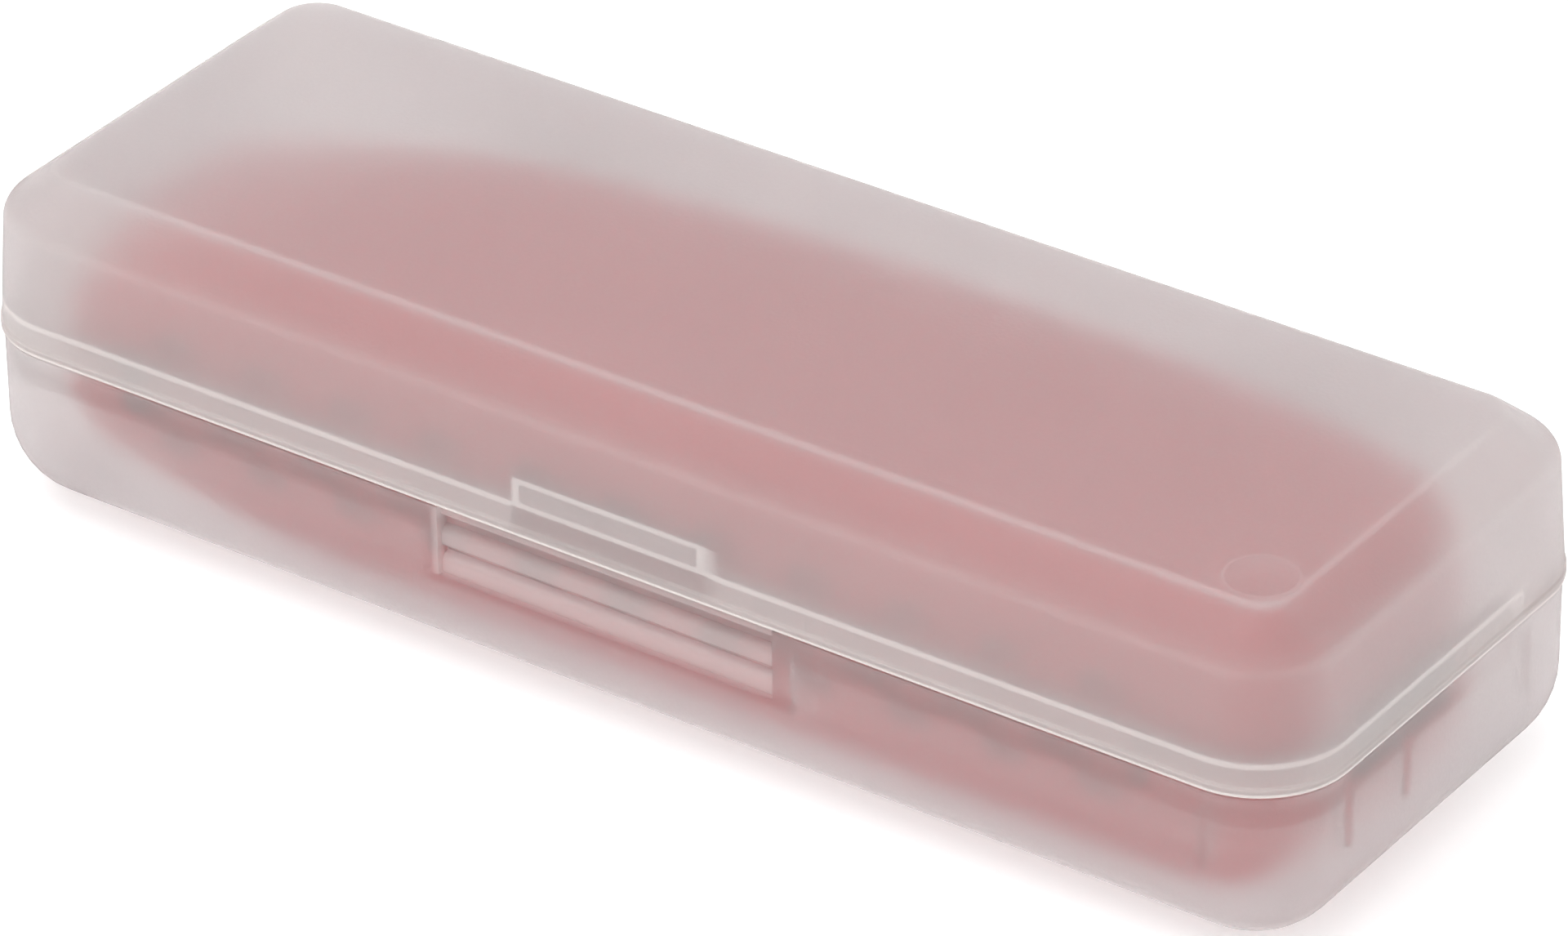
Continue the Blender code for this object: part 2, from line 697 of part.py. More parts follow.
def neck_collar():
    """A ring in front of the handle, around the fork's shank."""
    x0, x1 = HANDLE_FRONT + GAP, HANDLE_FRONT + COLLAR_LENGTH
    middle = handle_size(HANDLE_FRONT)[2]
    hole = circle((0.0, 0.0), SHANK_RADIUS + GAP, 2 * PROFILE_STEPS)
    bore = [(ROLLER_Y - y, middle + z) for y, z in hole]
    rings = [[(x0, y, z) for y, z in bore]]
    rings.append(handle_ring(HANDLE_FRONT, 0.2 * MM, x0))
    rings.append(handle_ring(HANDLE_FRONT, 0.9 * MM, x1))
    rings.append([(x1, y, z) for y, z in bore])
    return loft(rings, closed=True)


def fork_outline():
    """Plan of the fork: a waist behind the drum and one arm on each side of it."""
    outer = ARM_INNER + ARM_THICKNESS
    tip = DRUM_X + FORK_TIP_REACH
    half = [
        (HANDLE_FRONT + COLLAR_LENGTH + 0.4 * MM, SHANK_RADIUS),
        (FORK_WAIST_X, SHANK_RADIUS + 1.6 * MM),
        (FORK_BRIDGE_X, outer - 2.5 * MM),
        (FORK_BRIDGE_X + 2.5 * MM, outer),
        (tip - 1.0 * MM, outer),
        (tip, outer - 0.8 * MM),
        (tip, ARM_INNER + 0.8 * MM),
        (tip - 1.0 * MM, ARM_INNER),
        (FORK_BRIDGE_X + 4.6 * MM, ARM_INNER),
        (FORK_BRIDGE_X + 3.2 * MM, ARM_INNER - 1.5 * MM),
    ]
    mirrored = [(x, -y) for x, y in reversed(half)]
    return [(x, ROLLER_Y + y) for x, y in half + mirrored]


def build_fork(root, materials):
    z0 = DRUM_Z - FORK_THICKNESS / 2
    fork = make_object("head_fork", prism_z(fork_outline(), z0, z0 + FORK_THICKNESS), materials["head"], root)
    middle = handle_size(HANDLE_FRONT)[2]
    outline = circle((ROLLER_Y, middle), SHANK_RADIUS, 20)
    shank = prism_x(outline, HANDLE_FRONT - SHANK_OVERLAP, FORK_WAIST_X + 0.4 * MM)
    boolean(fork, shank, "UNION")
    boolean(fork, disc_y(-20 * MM, 20 * MM, BORE_RADIUS), "DIFFERENCE")
    shade(fork)


def build_handle(root, materials):
    pieces = {
        "handle_lower_shell": (handle_shell(-1), "handle"),
        "handle_upper_shell": (handle_shell(1), "handle"),
        "handle_grip": (sleeve(*GRIP_X, 0.0, GRIP_THICKNESS), "grip"),
        "handle_end_cap": (end_cap(), "gold"),
        "neck_collar": (neck_collar(), "gold"),
    }
    for name, (geometry, slot) in pieces.items():
        shade(make_object(name, geometry, materials[slot], root))


# --- Drum -----------------------------------------------------------------------------------
def needle_disc(y):
    """A flat ring with a pointed needle at each step around its edge."""
    steps = 2 * NEEDLES_PER_DISC
    half = DISC_THICKNESS / 2
    toothed = []
    for i in range(steps):
        radius = NEEDLE_TIP if i % 2 else DISC_ROOT
        angle = 2 * math.pi * i / steps
        toothed.append((DRUM_X + radius * math.cos(angle), DRUM_Z + radius * math.sin(angle)))
    bore = circle((DRUM_X, DRUM_Z), DISC_BORE, steps)
    rows = ((bore, y - half), (toothed, y - half), (toothed, y + half), (bore, y + half))
    return loft([[(x, ROLLER_Y + place, z) for x, z in outline] for outline, place in rows], closed=True)


def build_drum(drum_axis, materials):
    core_end = DRUM_HALF - DRUM_CAP_THICKNESS - GAP
    core = tube_y(-core_end, core_end, BORE_RADIUS, CORE_RADIUS)
    shade(make_object("drum_core", core, materials["drum"], drum_axis))
    for name, sign in (("front", -1), ("back", 1)):
        y0, y1 = sorted((sign * DRUM_HALF, sign * (DRUM_HALF - DRUM_CAP_THICKNESS)))
        cap = tube_y(y0, y1, BORE_RADIUS, SPACER_RADIUS)
        shade(make_object(f"drum_cap_{name}", cap, materials["drum"], drum_axis))
    first = -DISC_PITCH * (DISC_COUNT - 1) / 2
    for i in range(DISC_COUNT):
        y = first + DISC_PITCH * i
        shade(make_object(f"needle_disc_{i + 1:02d}", needle_disc(y), materials["gold"], drum_axis))
    for i in range(DISC_COUNT - 1):
        y = first + DISC_PITCH * (i + 0.5)
        half = SPACER_THICKNESS / 2
        ring = tube_y(y - half, y + half, DISC_BORE, SPACER_RADIUS)
        shade(make_object(f"disc_spacer_{i + 1:02d}", ring, materials["drum"], drum_axis))


def build_axle(root, materials):
    end = ARM_INNER + ARM_THICKNESS
    shade(make_object("drum_axle", disc_y(-end, end, AXLE_RADIUS), materials["steel"], root))
    for name, sign in (("front", -1), ("back", 1)):
        near = sign * (end + GAP)
        far = near + sign * AXLE_CAP_THICKNESS
        cap = disc_y(*sorted((near, far)), AXLE_CAP_RADIUS)
        shade(make_object(f"axle_cap_{name}", cap, materials["head"], root))


def main():
    clear_scene()
    materials = {
        "case": make_material("frosted_polypropylene", (0.86, 0.84, 0.83), 0.45, 0.0, 0.9),
        "cradle": make_material("red_polypropylene", (0.62, 0.08, 0.10), 0.45),
        "handle": make_material("plum_abs", (0.16, 0.055, 0.085), 0.35),
        "grip": make_material("plum_grip_rubber", (0.09, 0.03, 0.045), 0.8),
        "head": make_material("plum_fork_plastic", (0.16, 0.055, 0.085), 0.35),
        "drum": make_material("white_drum_plastic", (0.85, 0.85, 0.83), 0.4),
        "gold": make_material("gold_titanium", (0.80, 0.55, 0.22), 0.25, 1.0),
        "steel": make_material("pin_steel", (0.70, 0.70, 0.71), 0.3, 1.0),
    }
    root = make_empty("case_center", (0.0, 0.0, 0.0))
    lid_axis = make_empty("lid_axis", (0.0, HINGE_Y, PARTING), root)
    drum_axis = make_empty("drum_axis", (DRUM_X, ROLLER_Y, DRUM_Z), root)
    build_case(root, lid_axis, materials)
    build_cradle(root, lid_axis, materials)
    build_handle(root, materials)
    build_fork(root, materials)
    build_axle(root, materials)
    build_drum(drum_axis, materials)


main()
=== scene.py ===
"""Looks for the derma roller in its hinged storage case.

Geometry is written in millimetres in case coordinates: the origin is the middle of the
case's footprint on the floor, +X runs along the case, -Y is the catch side, +Z is up.
"""
import json
import math

import bmesh
import bpy
from mathutils import Matrix, Vector

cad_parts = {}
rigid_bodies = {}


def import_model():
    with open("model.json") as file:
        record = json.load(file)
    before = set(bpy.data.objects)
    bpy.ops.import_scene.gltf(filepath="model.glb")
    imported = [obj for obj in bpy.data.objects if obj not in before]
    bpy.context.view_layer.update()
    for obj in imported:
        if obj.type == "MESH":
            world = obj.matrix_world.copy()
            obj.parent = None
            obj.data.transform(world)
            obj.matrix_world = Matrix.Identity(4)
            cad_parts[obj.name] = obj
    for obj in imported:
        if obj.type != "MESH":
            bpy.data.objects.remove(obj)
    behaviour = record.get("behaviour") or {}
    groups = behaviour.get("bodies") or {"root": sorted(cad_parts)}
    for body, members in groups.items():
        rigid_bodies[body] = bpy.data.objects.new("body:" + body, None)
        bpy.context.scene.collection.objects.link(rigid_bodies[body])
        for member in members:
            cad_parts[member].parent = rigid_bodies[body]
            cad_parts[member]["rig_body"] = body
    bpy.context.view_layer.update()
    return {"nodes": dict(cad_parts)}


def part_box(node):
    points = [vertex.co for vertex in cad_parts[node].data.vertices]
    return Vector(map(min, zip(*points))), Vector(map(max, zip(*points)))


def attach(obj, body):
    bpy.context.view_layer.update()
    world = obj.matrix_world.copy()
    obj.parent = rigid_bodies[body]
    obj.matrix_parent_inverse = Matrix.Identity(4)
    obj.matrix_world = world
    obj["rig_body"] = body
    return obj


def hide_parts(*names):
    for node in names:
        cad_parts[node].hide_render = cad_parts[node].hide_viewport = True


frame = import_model()

MM = 0.001
SHARP_ANGLE = 35

# --- Places read from the frame --------------------------------------------------------------
LID_LOW, LID_HIGH = (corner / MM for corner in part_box("case_lid"))
PIN_LOW, PIN_HIGH = (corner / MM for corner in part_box("hinge_pin_right"))
DRUM_LOW, DRUM_HIGH = (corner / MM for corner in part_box("drum_core"))
HALF_LENGTH = (LID_HIGH.x - LID_LOW.x) / 2
HALF_WIDTH = 26.84
CASE_Y = LID_LOW.y + HALF_WIDTH
CASE_HEIGHT = LID_HIGH.z
PARTING = (PIN_LOW.z + PIN_HIGH.z) / 2
HINGE_Y = (PIN_LOW.y + PIN_HIGH.y) / 2 - CASE_Y
HINGE_STATION = (PIN_LOW.x + PIN_HIGH.x) / 2
DRUM_X = (DRUM_LOW.x + DRUM_HIGH.x) / 2
DRUM_Z = (DRUM_LOW.z + DRUM_HIGH.z) / 2
ROLLER_Y = (DRUM_LOW.y + DRUM_HIGH.y) / 2 - CASE_Y

# --- Case --------------------------------------------------------------------------------------
GAP = 0.3
CORNER_RADIUS = 9.5
CORNER_STEPS = 18
ANCHOR_X = HALF_LENGTH - CORNER_RADIUS
ANCHOR_Y = HALF_WIDTH - CORNER_RADIUS
STATION_SPACING = 4.0
BELOW_ALL = -99.0
BASE_INSET = 0.31
BASE_WALL = 1.5
FLOOR = 1.6
BOTTOM_RADIUS = 8.85
LID_WALL = 1.3
BEAD = 0.16
BEAD_TOP = 1.05
SHOULDER_HEIGHT = 12.74
SHOULDER_INSET = 0.91
PLATEAU_INSET = 5.87
LIP_END_Y = 11.7
CATCH_X = (-10.3, 11.0)
RECESS_X = (-18.3, 19.4)
RECESS_DEPTH = 1.3
RECESS_BOTTOM = 7.5
PAD_X = (RECESS_X[0] - 1.5, RECESS_X[1] + 1.5)
PAD_SOFT = 1.0
RIBS = ((-7.9, -5.3), (-4.7, -2.4), (-1.4, 0.8))
RIB_HEIGHT = 0.9
LOCATING_RIBS_Y = (-15.2, -5.4)
RIGHT_RIB_INSET, LEFT_RIB_INSET = 3.16, 5.56
FRONT_LINE_X = (64.7, 65.2)
END_LINE_Y, END_LINE_INSET = (15.0, 15.6), 2.7
RIB_SOFT = 0.3
LIP_END_SOFT = 0.4
MARK_CENTER = (65.2, -16.65)
MARK_RADIUS = 3.5
KNUCKLE_RADIUS = 2.1
PIN_RADIUS = 0.8
PIN_HOLE_RADIUS = 0.95
LID_KNUCKLE_HALF = 4.0
BASE_KNUCKLE_LENGTH = 5.0
KNUCKLE_ARM_DROP = 6.2
BORE_HALF = 11.0

# --- Cradle ------------------------------------------------------------------------------------
CRADLE_WALL = 1.4
CRADLE_LEFT, CRADLE_RIGHT = -67.5, 71.6
CRADLE_FRONT, CRADLE_BACK = -23.3, 16.6
CRADLE_UP, CRADLE_UP_TAIL, CRADLE_UP_CORNER, CRADLE_CROWN = 14.1, 7.6, 5.5, 0.6
CRADLE_DOWN, CRADLE_DOWN_TAIL, CRADLE_DOWN_CORNER = 14.7, 8.5, 4.5
CRADLE_END_RADIUS = 7.0
# Depth, length and power of the back edge's bow on each side of its middle.
BOW_MIDDLE = 18.0
RIGHT_BOW = (6.0, 51.0, 3.2)
LEFT_BOW = (3.5, 48.0, 2.3)
CRADLE_TAPER_START = -30.0
TRAY_NOSE_START, TRAY_NOSE_RISE = 58.0, 3.0
SLOT_PITCH, SLOT_WIDTH, SLOT_FIRST, SLOT_COUNT = 10.4, 4.8, -50.7, 11
SLOT_TOP, SLOT_BOTTOM = 6.0, 6.8
VENT_TOP, VENT_BOTTOM = 2.7, 3.7
VENT_X = (-57.5, 58.5)
END_VENT_Y = (-13.5, 3.5)
LINER_X = (-56.0, 57.0)
LINER_SETBACK, LINER_THICKNESS = 1.8, 0.8
LINER_LOW, LINER_HIGH = -8.5, 5.5
SADDLES_X, SADDLE_THICKNESS = (-40.0, 28.0), 2.0
FEET_X, FEET_Y, FOOT_RADIUS = (-28.0, 60.0), (-12.0, 2.0), 2.0

# --- Roller ------------------------------------------------------------------------------------
AXLE_RADIUS, BORE_RADIUS = 1.2, 1.35
CORE_RADIUS, DISC_BORE, DISC_ROOT, NEEDLE_TIP = 6.1, 6.3, 7.7, 9.3
SPACER_RADIUS, SPACER_THICKNESS = 8.0, 1.0
NEEDLES_PER_DISC = 20
DISC_COUNT, DISC_PITCH, DISC_THICKNESS = 10, 1.9, 0.4
DRUM_HALF, DRUM_CAP_THICKNESS = 10.2, 1.0
ARM_INNER, ARM_THICKNESS = 10.6, 2.3
FORK_THICKNESS = 7.0
AXLE_CAP_RADIUS, AXLE_CAP_THICKNESS = 2.4, 0.9
HANDLE_FRONT, HANDLE_TAIL = 38.0, -58.0
HANDLE_WALL = 1.6
SECTION_POWER = 0.8
GRIP_X = (-26.0, 20.0)
GRIP_THICKNESS = 1.2
SHANK_RADIUS, SHANK_X = 3.0, (24.0, 44.0)

# --- Lip, rim and milk: milk is how milky the plastic is, from 0 to 1; on the lid it also paints highlight lines ---
LIP_MILK = 0.05
RIB_MILK = (0.22, 0.5)
WALL_MILK = 0.17
CHAMFER_MILK = 0.11
# Painted highlight: a pale line along the lid's shoulder.
SHOULDER_HIGHLIGHT = 0.08
BASE_WALL_MILK = 0.12
# Painted highlight: a pale line along the edge of the lid's plateau.
PLATEAU_EDGE_HIGHLIGHT = 0.25
MARK_MILK = 0.12
PLATEAU_EDGE_WIDTH = 0.7
# Painted highlight lines round the catch tongue seen through the lid.
POCKET_LINE_HIGHLIGHT = 0.70
BASE_FADE_START, BASE_FADE_LENGTH = -9.5, 4.0
# Heights above the parting line and how milky the lid's outer face is there: a painted highlight along the
# rim edge, the pale band of the lip seen through the wall, and a painted highlight line at the lip's top
# edge.
RIM_BAND = ((0.0, 1.0), (0.48, 1.0), (0.60, 0.22), (0.80, 0.22), (0.95, 0.50), (1.10, 0.40), (2.95, 0.36),
            (3.08, 0.72), (3.45, 0.72), (3.75, WALL_MILK))
RIM_BAND_END_Y = 12.6
# Over the catch: the painted rim highlight, the catch tongue seen through the wall, and painted highlight
# lines at its edges.
POCKET_X = (-9.3, 11.7)
POCKET_BAND = ((0.0, 1.0), (0.48, 1.0), (0.60, 0.16), (3.12, 0.16), (3.25, POCKET_LINE_HIGHLIGHT),
               (3.60, POCKET_LINE_HIGHLIGHT), (3.80, 0.34), (5.50, 0.34), (5.70, POCKET_LINE_HIGHLIGHT),
               (6.00, POCKET_LINE_HIGHLIGHT), (6.25, WALL_MILK))
POCKET_BORDER = 0.55
BAND_SOFT = 0.15
CATCH_SOFT = 0.25
RECESS_SOFT = 0.2
# Section of the lip as (inset, height above the parting line): plain lip, then catch tongue.
LIP_LOOP = [
    ((1.66, -0.15), (2.30, -0.15)),
    ((1.66, 0.10), (2.30, 0.10)),
    ((1.68, 1.40), (2.30, 2.20)),
    ((1.70, 1.80), (2.05, 2.45)),
    ((1.71, 2.10), (1.72, 2.60)),
    ((1.72, 2.45), (1.84, 4.80)),
    ((1.80, 2.63), (1.92, 5.07)),
    ((2.00, 2.70), (2.14, 5.20)),
    ((2.82, 2.70), (2.75, 5.20)),
    ((3.02, 2.62), (2.92, 5.10)),
    ((3.10, 2.42), (3.00, 4.90)),
    ((3.10, 0.00), (3.00, 0.00)),
    ((3.10, -2.50), (3.05, -2.50)),
]

# --- Looks and studio --------------------------------------------------------------------------
FROST_TRANSMISSION = 0.90
MILKY_TRANSMISSION = 0.35
FROST_ROUGHNESS = 0.56
END_STRENGTH = 0.65
LIGHT_BOUNCES = 24
CAMERA_ANGLES = (35.438, 31.534, -0.6726)
CAMERA_OFFSET = (1.830, -2.572, 827.83)
CAMERA_LENS = 203.53
FLOOR_HALF = 2.0


# --- Mesh helpers --------------------------------------------------------------------------------
def mesh_object(name, geometry, mats=()):
    """A mesh object from (vertices, faces) in millimetres and case coordinates."""
    verts, faces = geometry
    mesh = bpy.data.meshes.new(name)
    mesh.from_pydata([(x * MM, (y + CASE_Y) * MM, z * MM) for x, y, z in verts], [], faces)
    work = bmesh.new()
    work.from_mesh(mesh)
    bmesh.ops.remove_doubles(work, verts=work.verts, dist=1e-6)
    bmesh.ops.dissolve_degenerate(work, edges=work.edges, dist=1e-7)
    bmesh.ops.recalc_face_normals(work, faces=work.faces)
    work.to_mesh(mesh)
    work.free()
    for mat in mats:
        mesh.materials.append(mat)
    mesh.shade_smooth()
    mesh.set_sharp_from_angle(angle=math.radians(SHARP_ANGLE))
    obj = bpy.data.objects.new(name, mesh)
    bpy.context.scene.collection.objects.link(obj)
    return obj


def apply_modifiers(obj, sharp=SHARP_ANGLE):
    old = obj.data
    graph = bpy.context.evaluated_depsgraph_get()
    obj.data = bpy.data.meshes.new_from_object(obj.evaluated_get(graph))
    obj.modifiers.clear()
    bpy.data.meshes.remove(old)
    obj.data.shade_smooth()
    obj.data.set_sharp_from_angle(angle=math.radians(sharp))


def boolean(obj, geometry, operation, sharp=SHARP_ANGLE):
    tool = mesh_object("tool", geometry)
    modifier = obj.modifiers.new("boolean", "BOOLEAN")
    modifier.operation = operation
    modifier.object = tool
    modifier.solver = "EXACT"
    apply_modifiers(obj, sharp)
    bpy.data.objects.remove(tool)


def bevel(obj, width, segments, angle):
    modifier = obj.modifiers.new("bevel", "BEVEL")
    modifier.width = width * MM
    modifier.segments = segments
    modifier.limit_method = "ANGLE"
    modifier.angle_limit = math.radians(angle)
    apply_modifiers(obj)


def stand_for(obj, slot, *nodes):
    """The piece rides where its CAD nodes ride, and they are hidden."""
    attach(obj, frame["nodes"][nodes[0]]["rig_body"])
    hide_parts(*nodes)
    return obj


def loft(rings, closed=False):
    """Skin equal rings in order; the ends are capped, or joined to each other."""
    count = len(rings[0])
    verts = [point for ring in rings for point in ring]
    faces = []
    for i in range(len(rings) if closed else len(rings) - 1):
        here, there = i * count, (i + 1) % len(rings) * count
        for j in range(count):
            k = (j + 1) % count
            faces.append([here + j, here + k, there + k, there + j])
    if not closed:
        faces.append(list(range(count))[::-1])
        faces.append(list(range(len(verts) - count, len(verts))))
    return verts, faces


def join(*parts):
    verts, faces = [], []
    for part_verts, part_faces in parts:
        shift = len(verts)
        verts += part_verts
        faces += [[i + shift for i in face] for face in part_faces]
    return verts, faces


def arc(center, radius, start, end, steps):
    angles = [math.radians(start + (end - start) * i / steps) for i in range(steps + 1)]
    return [(center[0] + radius * math.cos(a), center[1] + radius * math.sin(a)) for a in angles]


def circle(center, radius, steps):
    return arc(center, radius, 0, 360, steps)[:-1]


def rounded_box(a0, a1, b0, b1, radius, steps=6):
    """Outline of a rectangle with round corners, anticlockwise."""
    points = []
    for quarter, (a, b) in enumerate(((a1, b1), (a0, b1), (a0, b0), (a1, b0))):
        sa, sb = (1, -1, -1, 1)[quarter], (1, 1, -1, -1)[quarter]
        center = (a - sa * radius, b - sb * radius)
        points += arc(center, radius, 90 * quarter, 90 * quarter + 90, steps)
    return points


def prism_x(outline, x0, x1):
    return loft([[(x, y, z) for y, z in outline] for x in (x0, x1)])


def prism_y(outline, y0, y1):
    return loft([[(x, y, z) for x, z in outline] for y in (y0, y1)])


def prism_z(outline, z0, z1):
    return loft([[(x, y, z) for x, y in outline] for z in (z0, z1)])


def lathe_y(profile, steps=64, closed=True):
    """Turn a profile of (radius, y) about the drum's axis."""
    rings = []
    for radius, along in profile:
        rings.append([(x, ROLLER_Y + along, z) for x, z in circle((DRUM_X, DRUM_Z), radius, steps)])
    return loft(rings, closed)


def fillet(points, radii, steps=6):
    """Round the inner corners of an open polyline."""
    out = [points[0]]
    for i in range(1, len(points) - 1):
        here, before, after = (Vector(points[k]) for k in (i, i - 1, i + 1))
        u, v = (before - here).normalized(), (after - here).normalized()
        half = u.angle(v) / 2
        if radii[i] <= 0:
            out.append(tuple(here))
            continue
        reach = radii[i] / math.tan(half)
        center = here + (u + v).normalized() * radii[i] / math.sin(half)
        start, end = here + u * reach - center, here + v * reach - center
        for k in range(steps + 1):
            out.append(tuple(center + start.lerp(end, k / steps).normalized() * radii[i]))
    out.append(points[-1])
    return out


def at_heights(points, heights):
    """Add points where a polyline of (inset, z) passes the given heights."""
    out = [points[0]]
    for before, here in zip(points, points[1:]):
        low, high = sorted((before[1], here[1]))
        passed = [z for z in heights if low + 0.02 < z < high - 0.02]
        for z in sorted(passed, reverse=before[1] > here[1]):
            out.append(mix(before, here, (z - before[1]) / (here[1] - before[1])))
        out.append(here)
    return out


def split_long(points, most=0.6):
    """Add points so that no step of the polyline is longer than most."""
    out = [points[0]]
    for before, here in zip(points, points[1:]):
        steps = math.ceil((Vector(here) - Vector(before)).length / most)
        out += [tuple(Vector(before).lerp(Vector(here), k / steps)) for k in range(1, steps + 1)]
    return out


# --- Case walls: columns of (inset, z) profiles placed round the outline -----------------------
def stations(front, ends):
    """Columns anticlockwise round the case as (anchor, outward angle, side, place along it)."""
    def places(low, high, breaks):
        count = round((high - low) / STATION_SPACING)
        marks = [low + (high - low) * i / count for i in range(1, count)]
        marks = [m for m in marks if all(abs(m - b) > 0.5 for b in breaks)]
        return sorted(marks + [b for b in breaks if low < b < high])

    rows = []
    for quarter, side in enumerate(("front", "right", "back", "left")):
        angle = math.radians(90 * quarter - 90)
        if side in ("front", "back"):
            marks = places(-ANCHOR_X, ANCHOR_X, front if side == "front" else ())
            sign = -1 if side == "front" else 1
            row = [((t, sign * ANCHOR_Y), angle, side, t) for t in marks]
        else:
            marks = places(-ANCHOR_Y, ANCHOR_Y, ends)
            sign = 1 if side == "right" else -1
            row = [((sign * ANCHOR_X, t), angle, side, t) for t in marks]
        rows += row if side in ("front", "right") else row[::-1]
        corner = (ANCHOR_X if quarter in (0, 1) else -ANCHOR_X, -ANCHOR_Y if quarter in (0, 3) else ANCHOR_Y)
        for step in range(CORNER_STEPS + 1):
            turn = angle + math.radians(90) * step / CORNER_STEPS
            rows.append((corner, turn, "front_corner" if quarter in (0, 3) else "back_corner", turn))
    return rows


def wall_columns(rows, profile):
    """Closed shell: the profile runs from the middle of one face, over the rim, to the other."""
    rings = []
    for (ax, ay), turn, side, t in rows:
        c, s = math.cos(turn), math.sin(turn)
        reach = [(CORNER_RADIUS - inset, z) for inset, z in profile(side, t)]
        rings.append([(ax + c * r, ay + s * r, z) for r, z in reach])
    count, length = len(rings), len(rings[0])
    verts = [point for ring in rings for point in ring]
    faces = []
    for i in range(count):
        here, there = i * length, (i + 1) % count * length
        for j in range(length - 1):
            faces.append([here + j, there + j, there + j + 1, here + j + 1])
    for j in (0, length - 1):
        faces.append([i * length + j for i in range(count)])
    return verts, faces


def ramp(t, low, high, soft):
    return max(0.0, min(1.0, min(t - low, high - t) / soft + 0.5))


def edges(low, high, soft):
    return [edge + soft * k / 2 for edge in (low, high) for k in (-1, 0, 1)]


def mix(a, b, u):
    return tuple(p + (q - p) * u for p, q in zip(a, b))


def recess_path():
    """Depth and height up the thumb recess: a ledge, then three rounded bars."""
    bottom = PARTING - RECESS_BOTTOM
    path = [(0.0, bottom - 0.12), (0.06, bottom - 0.04), (0.16, bottom)]
    for k in range(1, 60):
        z = -RECESS_BOTTOM + 0.02 + 0.12 * k
        if z > -0.45:
            break
        path.append((rib_depth(z), PARTING + z))
    return path


def rib_depth(z):
    """Depth of the recess at a height from the parting line."""
    depth = RECESS_DEPTH
    for low, high in RIBS:
        middle, half = (low + high) / 2, (high - low) / 2
        u = min(1.0, abs(z - middle) / half)
        depth = min(depth, RECESS_DEPTH - RIB_HEIGHT * (1 - u ** 3.5) ** 0.6)
    return depth


def base_profile(side, t):
    lip = {"front": 1.0, "front_corner": 1.0}.get(side, 0.0)
    recess = catch = pad = rib = 0.0
    reach = RIGHT_RIB_INSET
    if side == "front":
        recess = ramp(t, *RECESS_X, RECESS_SOFT)
        catch = ramp(t, *CATCH_X, CATCH_SOFT)
        pad = ramp(t, *PAD_X, PAD_SOFT)
        rib = ramp(t, *FRONT_LINE_X, RIB_SOFT)
    if side in ("right", "left"):
        lip = ramp(t, BELOW_ALL, LIP_END_Y, LIP_END_SOFT)
        rib = max(ramp(t, y - 0.5, y + 0.5, RIB_SOFT) for y in LOCATING_RIBS_Y)
        reach = RIGHT_RIB_INSET if side == "right" else LEFT_RIB_INSET
        if side == "right" and t > 10:
            rib, reach = ramp(t, *END_LINE_Y, RIB_SOFT), END_LINE_INSET
    inner = BASE_INSET + BASE_WALL
    points = []
    for step in range(13):
        angle = math.radians(90 - 7.5 * step)
        tuck = BOTTOM_RADIUS * (1 - math.cos(angle))
        points.append((BASE_INSET + tuck, BOTTOM_RADIUS * (1 - math.sin(angle))))
    points += [(BASE_INSET, 9.7), (BASE_INSET, 10.4)]
    path = recess_path()
    points += [(BASE_INSET + recess * depth, z) for depth, z in path]
    last = recess * path[-1][0]
    points += [(BASE_INSET + last, PARTING - 0.35), (BASE_INSET + 0.06 + last, PARTING - 0.2)]
    points += [(BASE_INSET + 0.2 + last, PARTING - 0.15)]
    for plain, tongue in LIP_LOOP:
        inset, z = mix(plain, tongue, catch)
        flat = (inner - 0.02, min(z, -0.15)) if z > -2 else (inner, z)
        inset, z = mix(flat, (inset, z), lip)
        points.append((inset, PARTING + z))
    top, low = mix((inner, -3.9), (inner + 1.05, -3.0), pad), mix((inner, -7.0), (inner + 1.05, -8.2), pad)
    top, low = mix(top, (reach, -3.0), rib), mix(low, (reach, -8.6), rib)
    points += [(inset, PARTING + z) for inset, z in (top, low)]
    points += [(inner, 9.05)]
    small = BOTTOM_RADIUS - BASE_WALL
    for step in range(11):
        angle = math.radians(9 * step)
        points.append((inner + small * (1 - math.cos(angle)), FLOOR + small * (1 - math.sin(angle))))
    return points


def add_milk_and_highlight(obj, amount):
    """Store how milky the plastic is at each vertex, from 0 for a thin wall to 1 where it is thick; on the
    lid this also carries painted highlight lines.
    """
    values = []
    for vertex in obj.data.vertices:
        x, y, z = vertex.co / MM
        values.append(amount(x, y - CASE_Y, z - PARTING))
    obj.data.attributes.new("milk_and_highlight", "FLOAT", "POINT").data.foreach_set("value", values)


def outline_inset(x, y):
    """How far a point is inside the case's outline."""
    over_x, over_y = abs(x) - ANCHOR_X, abs(y) - ANCHOR_Y
    if over_x > 0 and over_y > 0:
        return CORNER_RADIUS - math.hypot(over_x, over_y)
    return CORNER_RADIUS - max(over_x, over_y)


def base_milk(x, y, z):
    inset = outline_inset(x, y)
    if z > -0.1:
        return LIP_MILK
    in_recess = y < 0 and RECESS_X[0] - 0.1 < x < RECESS_X[1] + 0.1 and z > -RECESS_BOTTOM + 0.05
    if in_recess and inset < BASE_INSET + RECESS_DEPTH + 0.05:
        crest = max(0.0, 1 - (inset - BASE_INSET) / RECESS_DEPTH) ** 0.7
        return RIB_MILK[0] + (RIB_MILK[1] - RIB_MILK[0]) * crest
    return BASE_WALL_MILK * min(1.0, max(0.0, (z - BASE_FADE_START) / BASE_FADE_LENGTH))


def band_milk_and_highlight(band, z):
    """Read a table of (height, milk) at a height."""
    for (low, before), (high, after) in zip(band, band[1:]):
        if z <= high:
            return before + (after - before) * max(0.0, z - low) / (high - low)
    return band[-1][1]


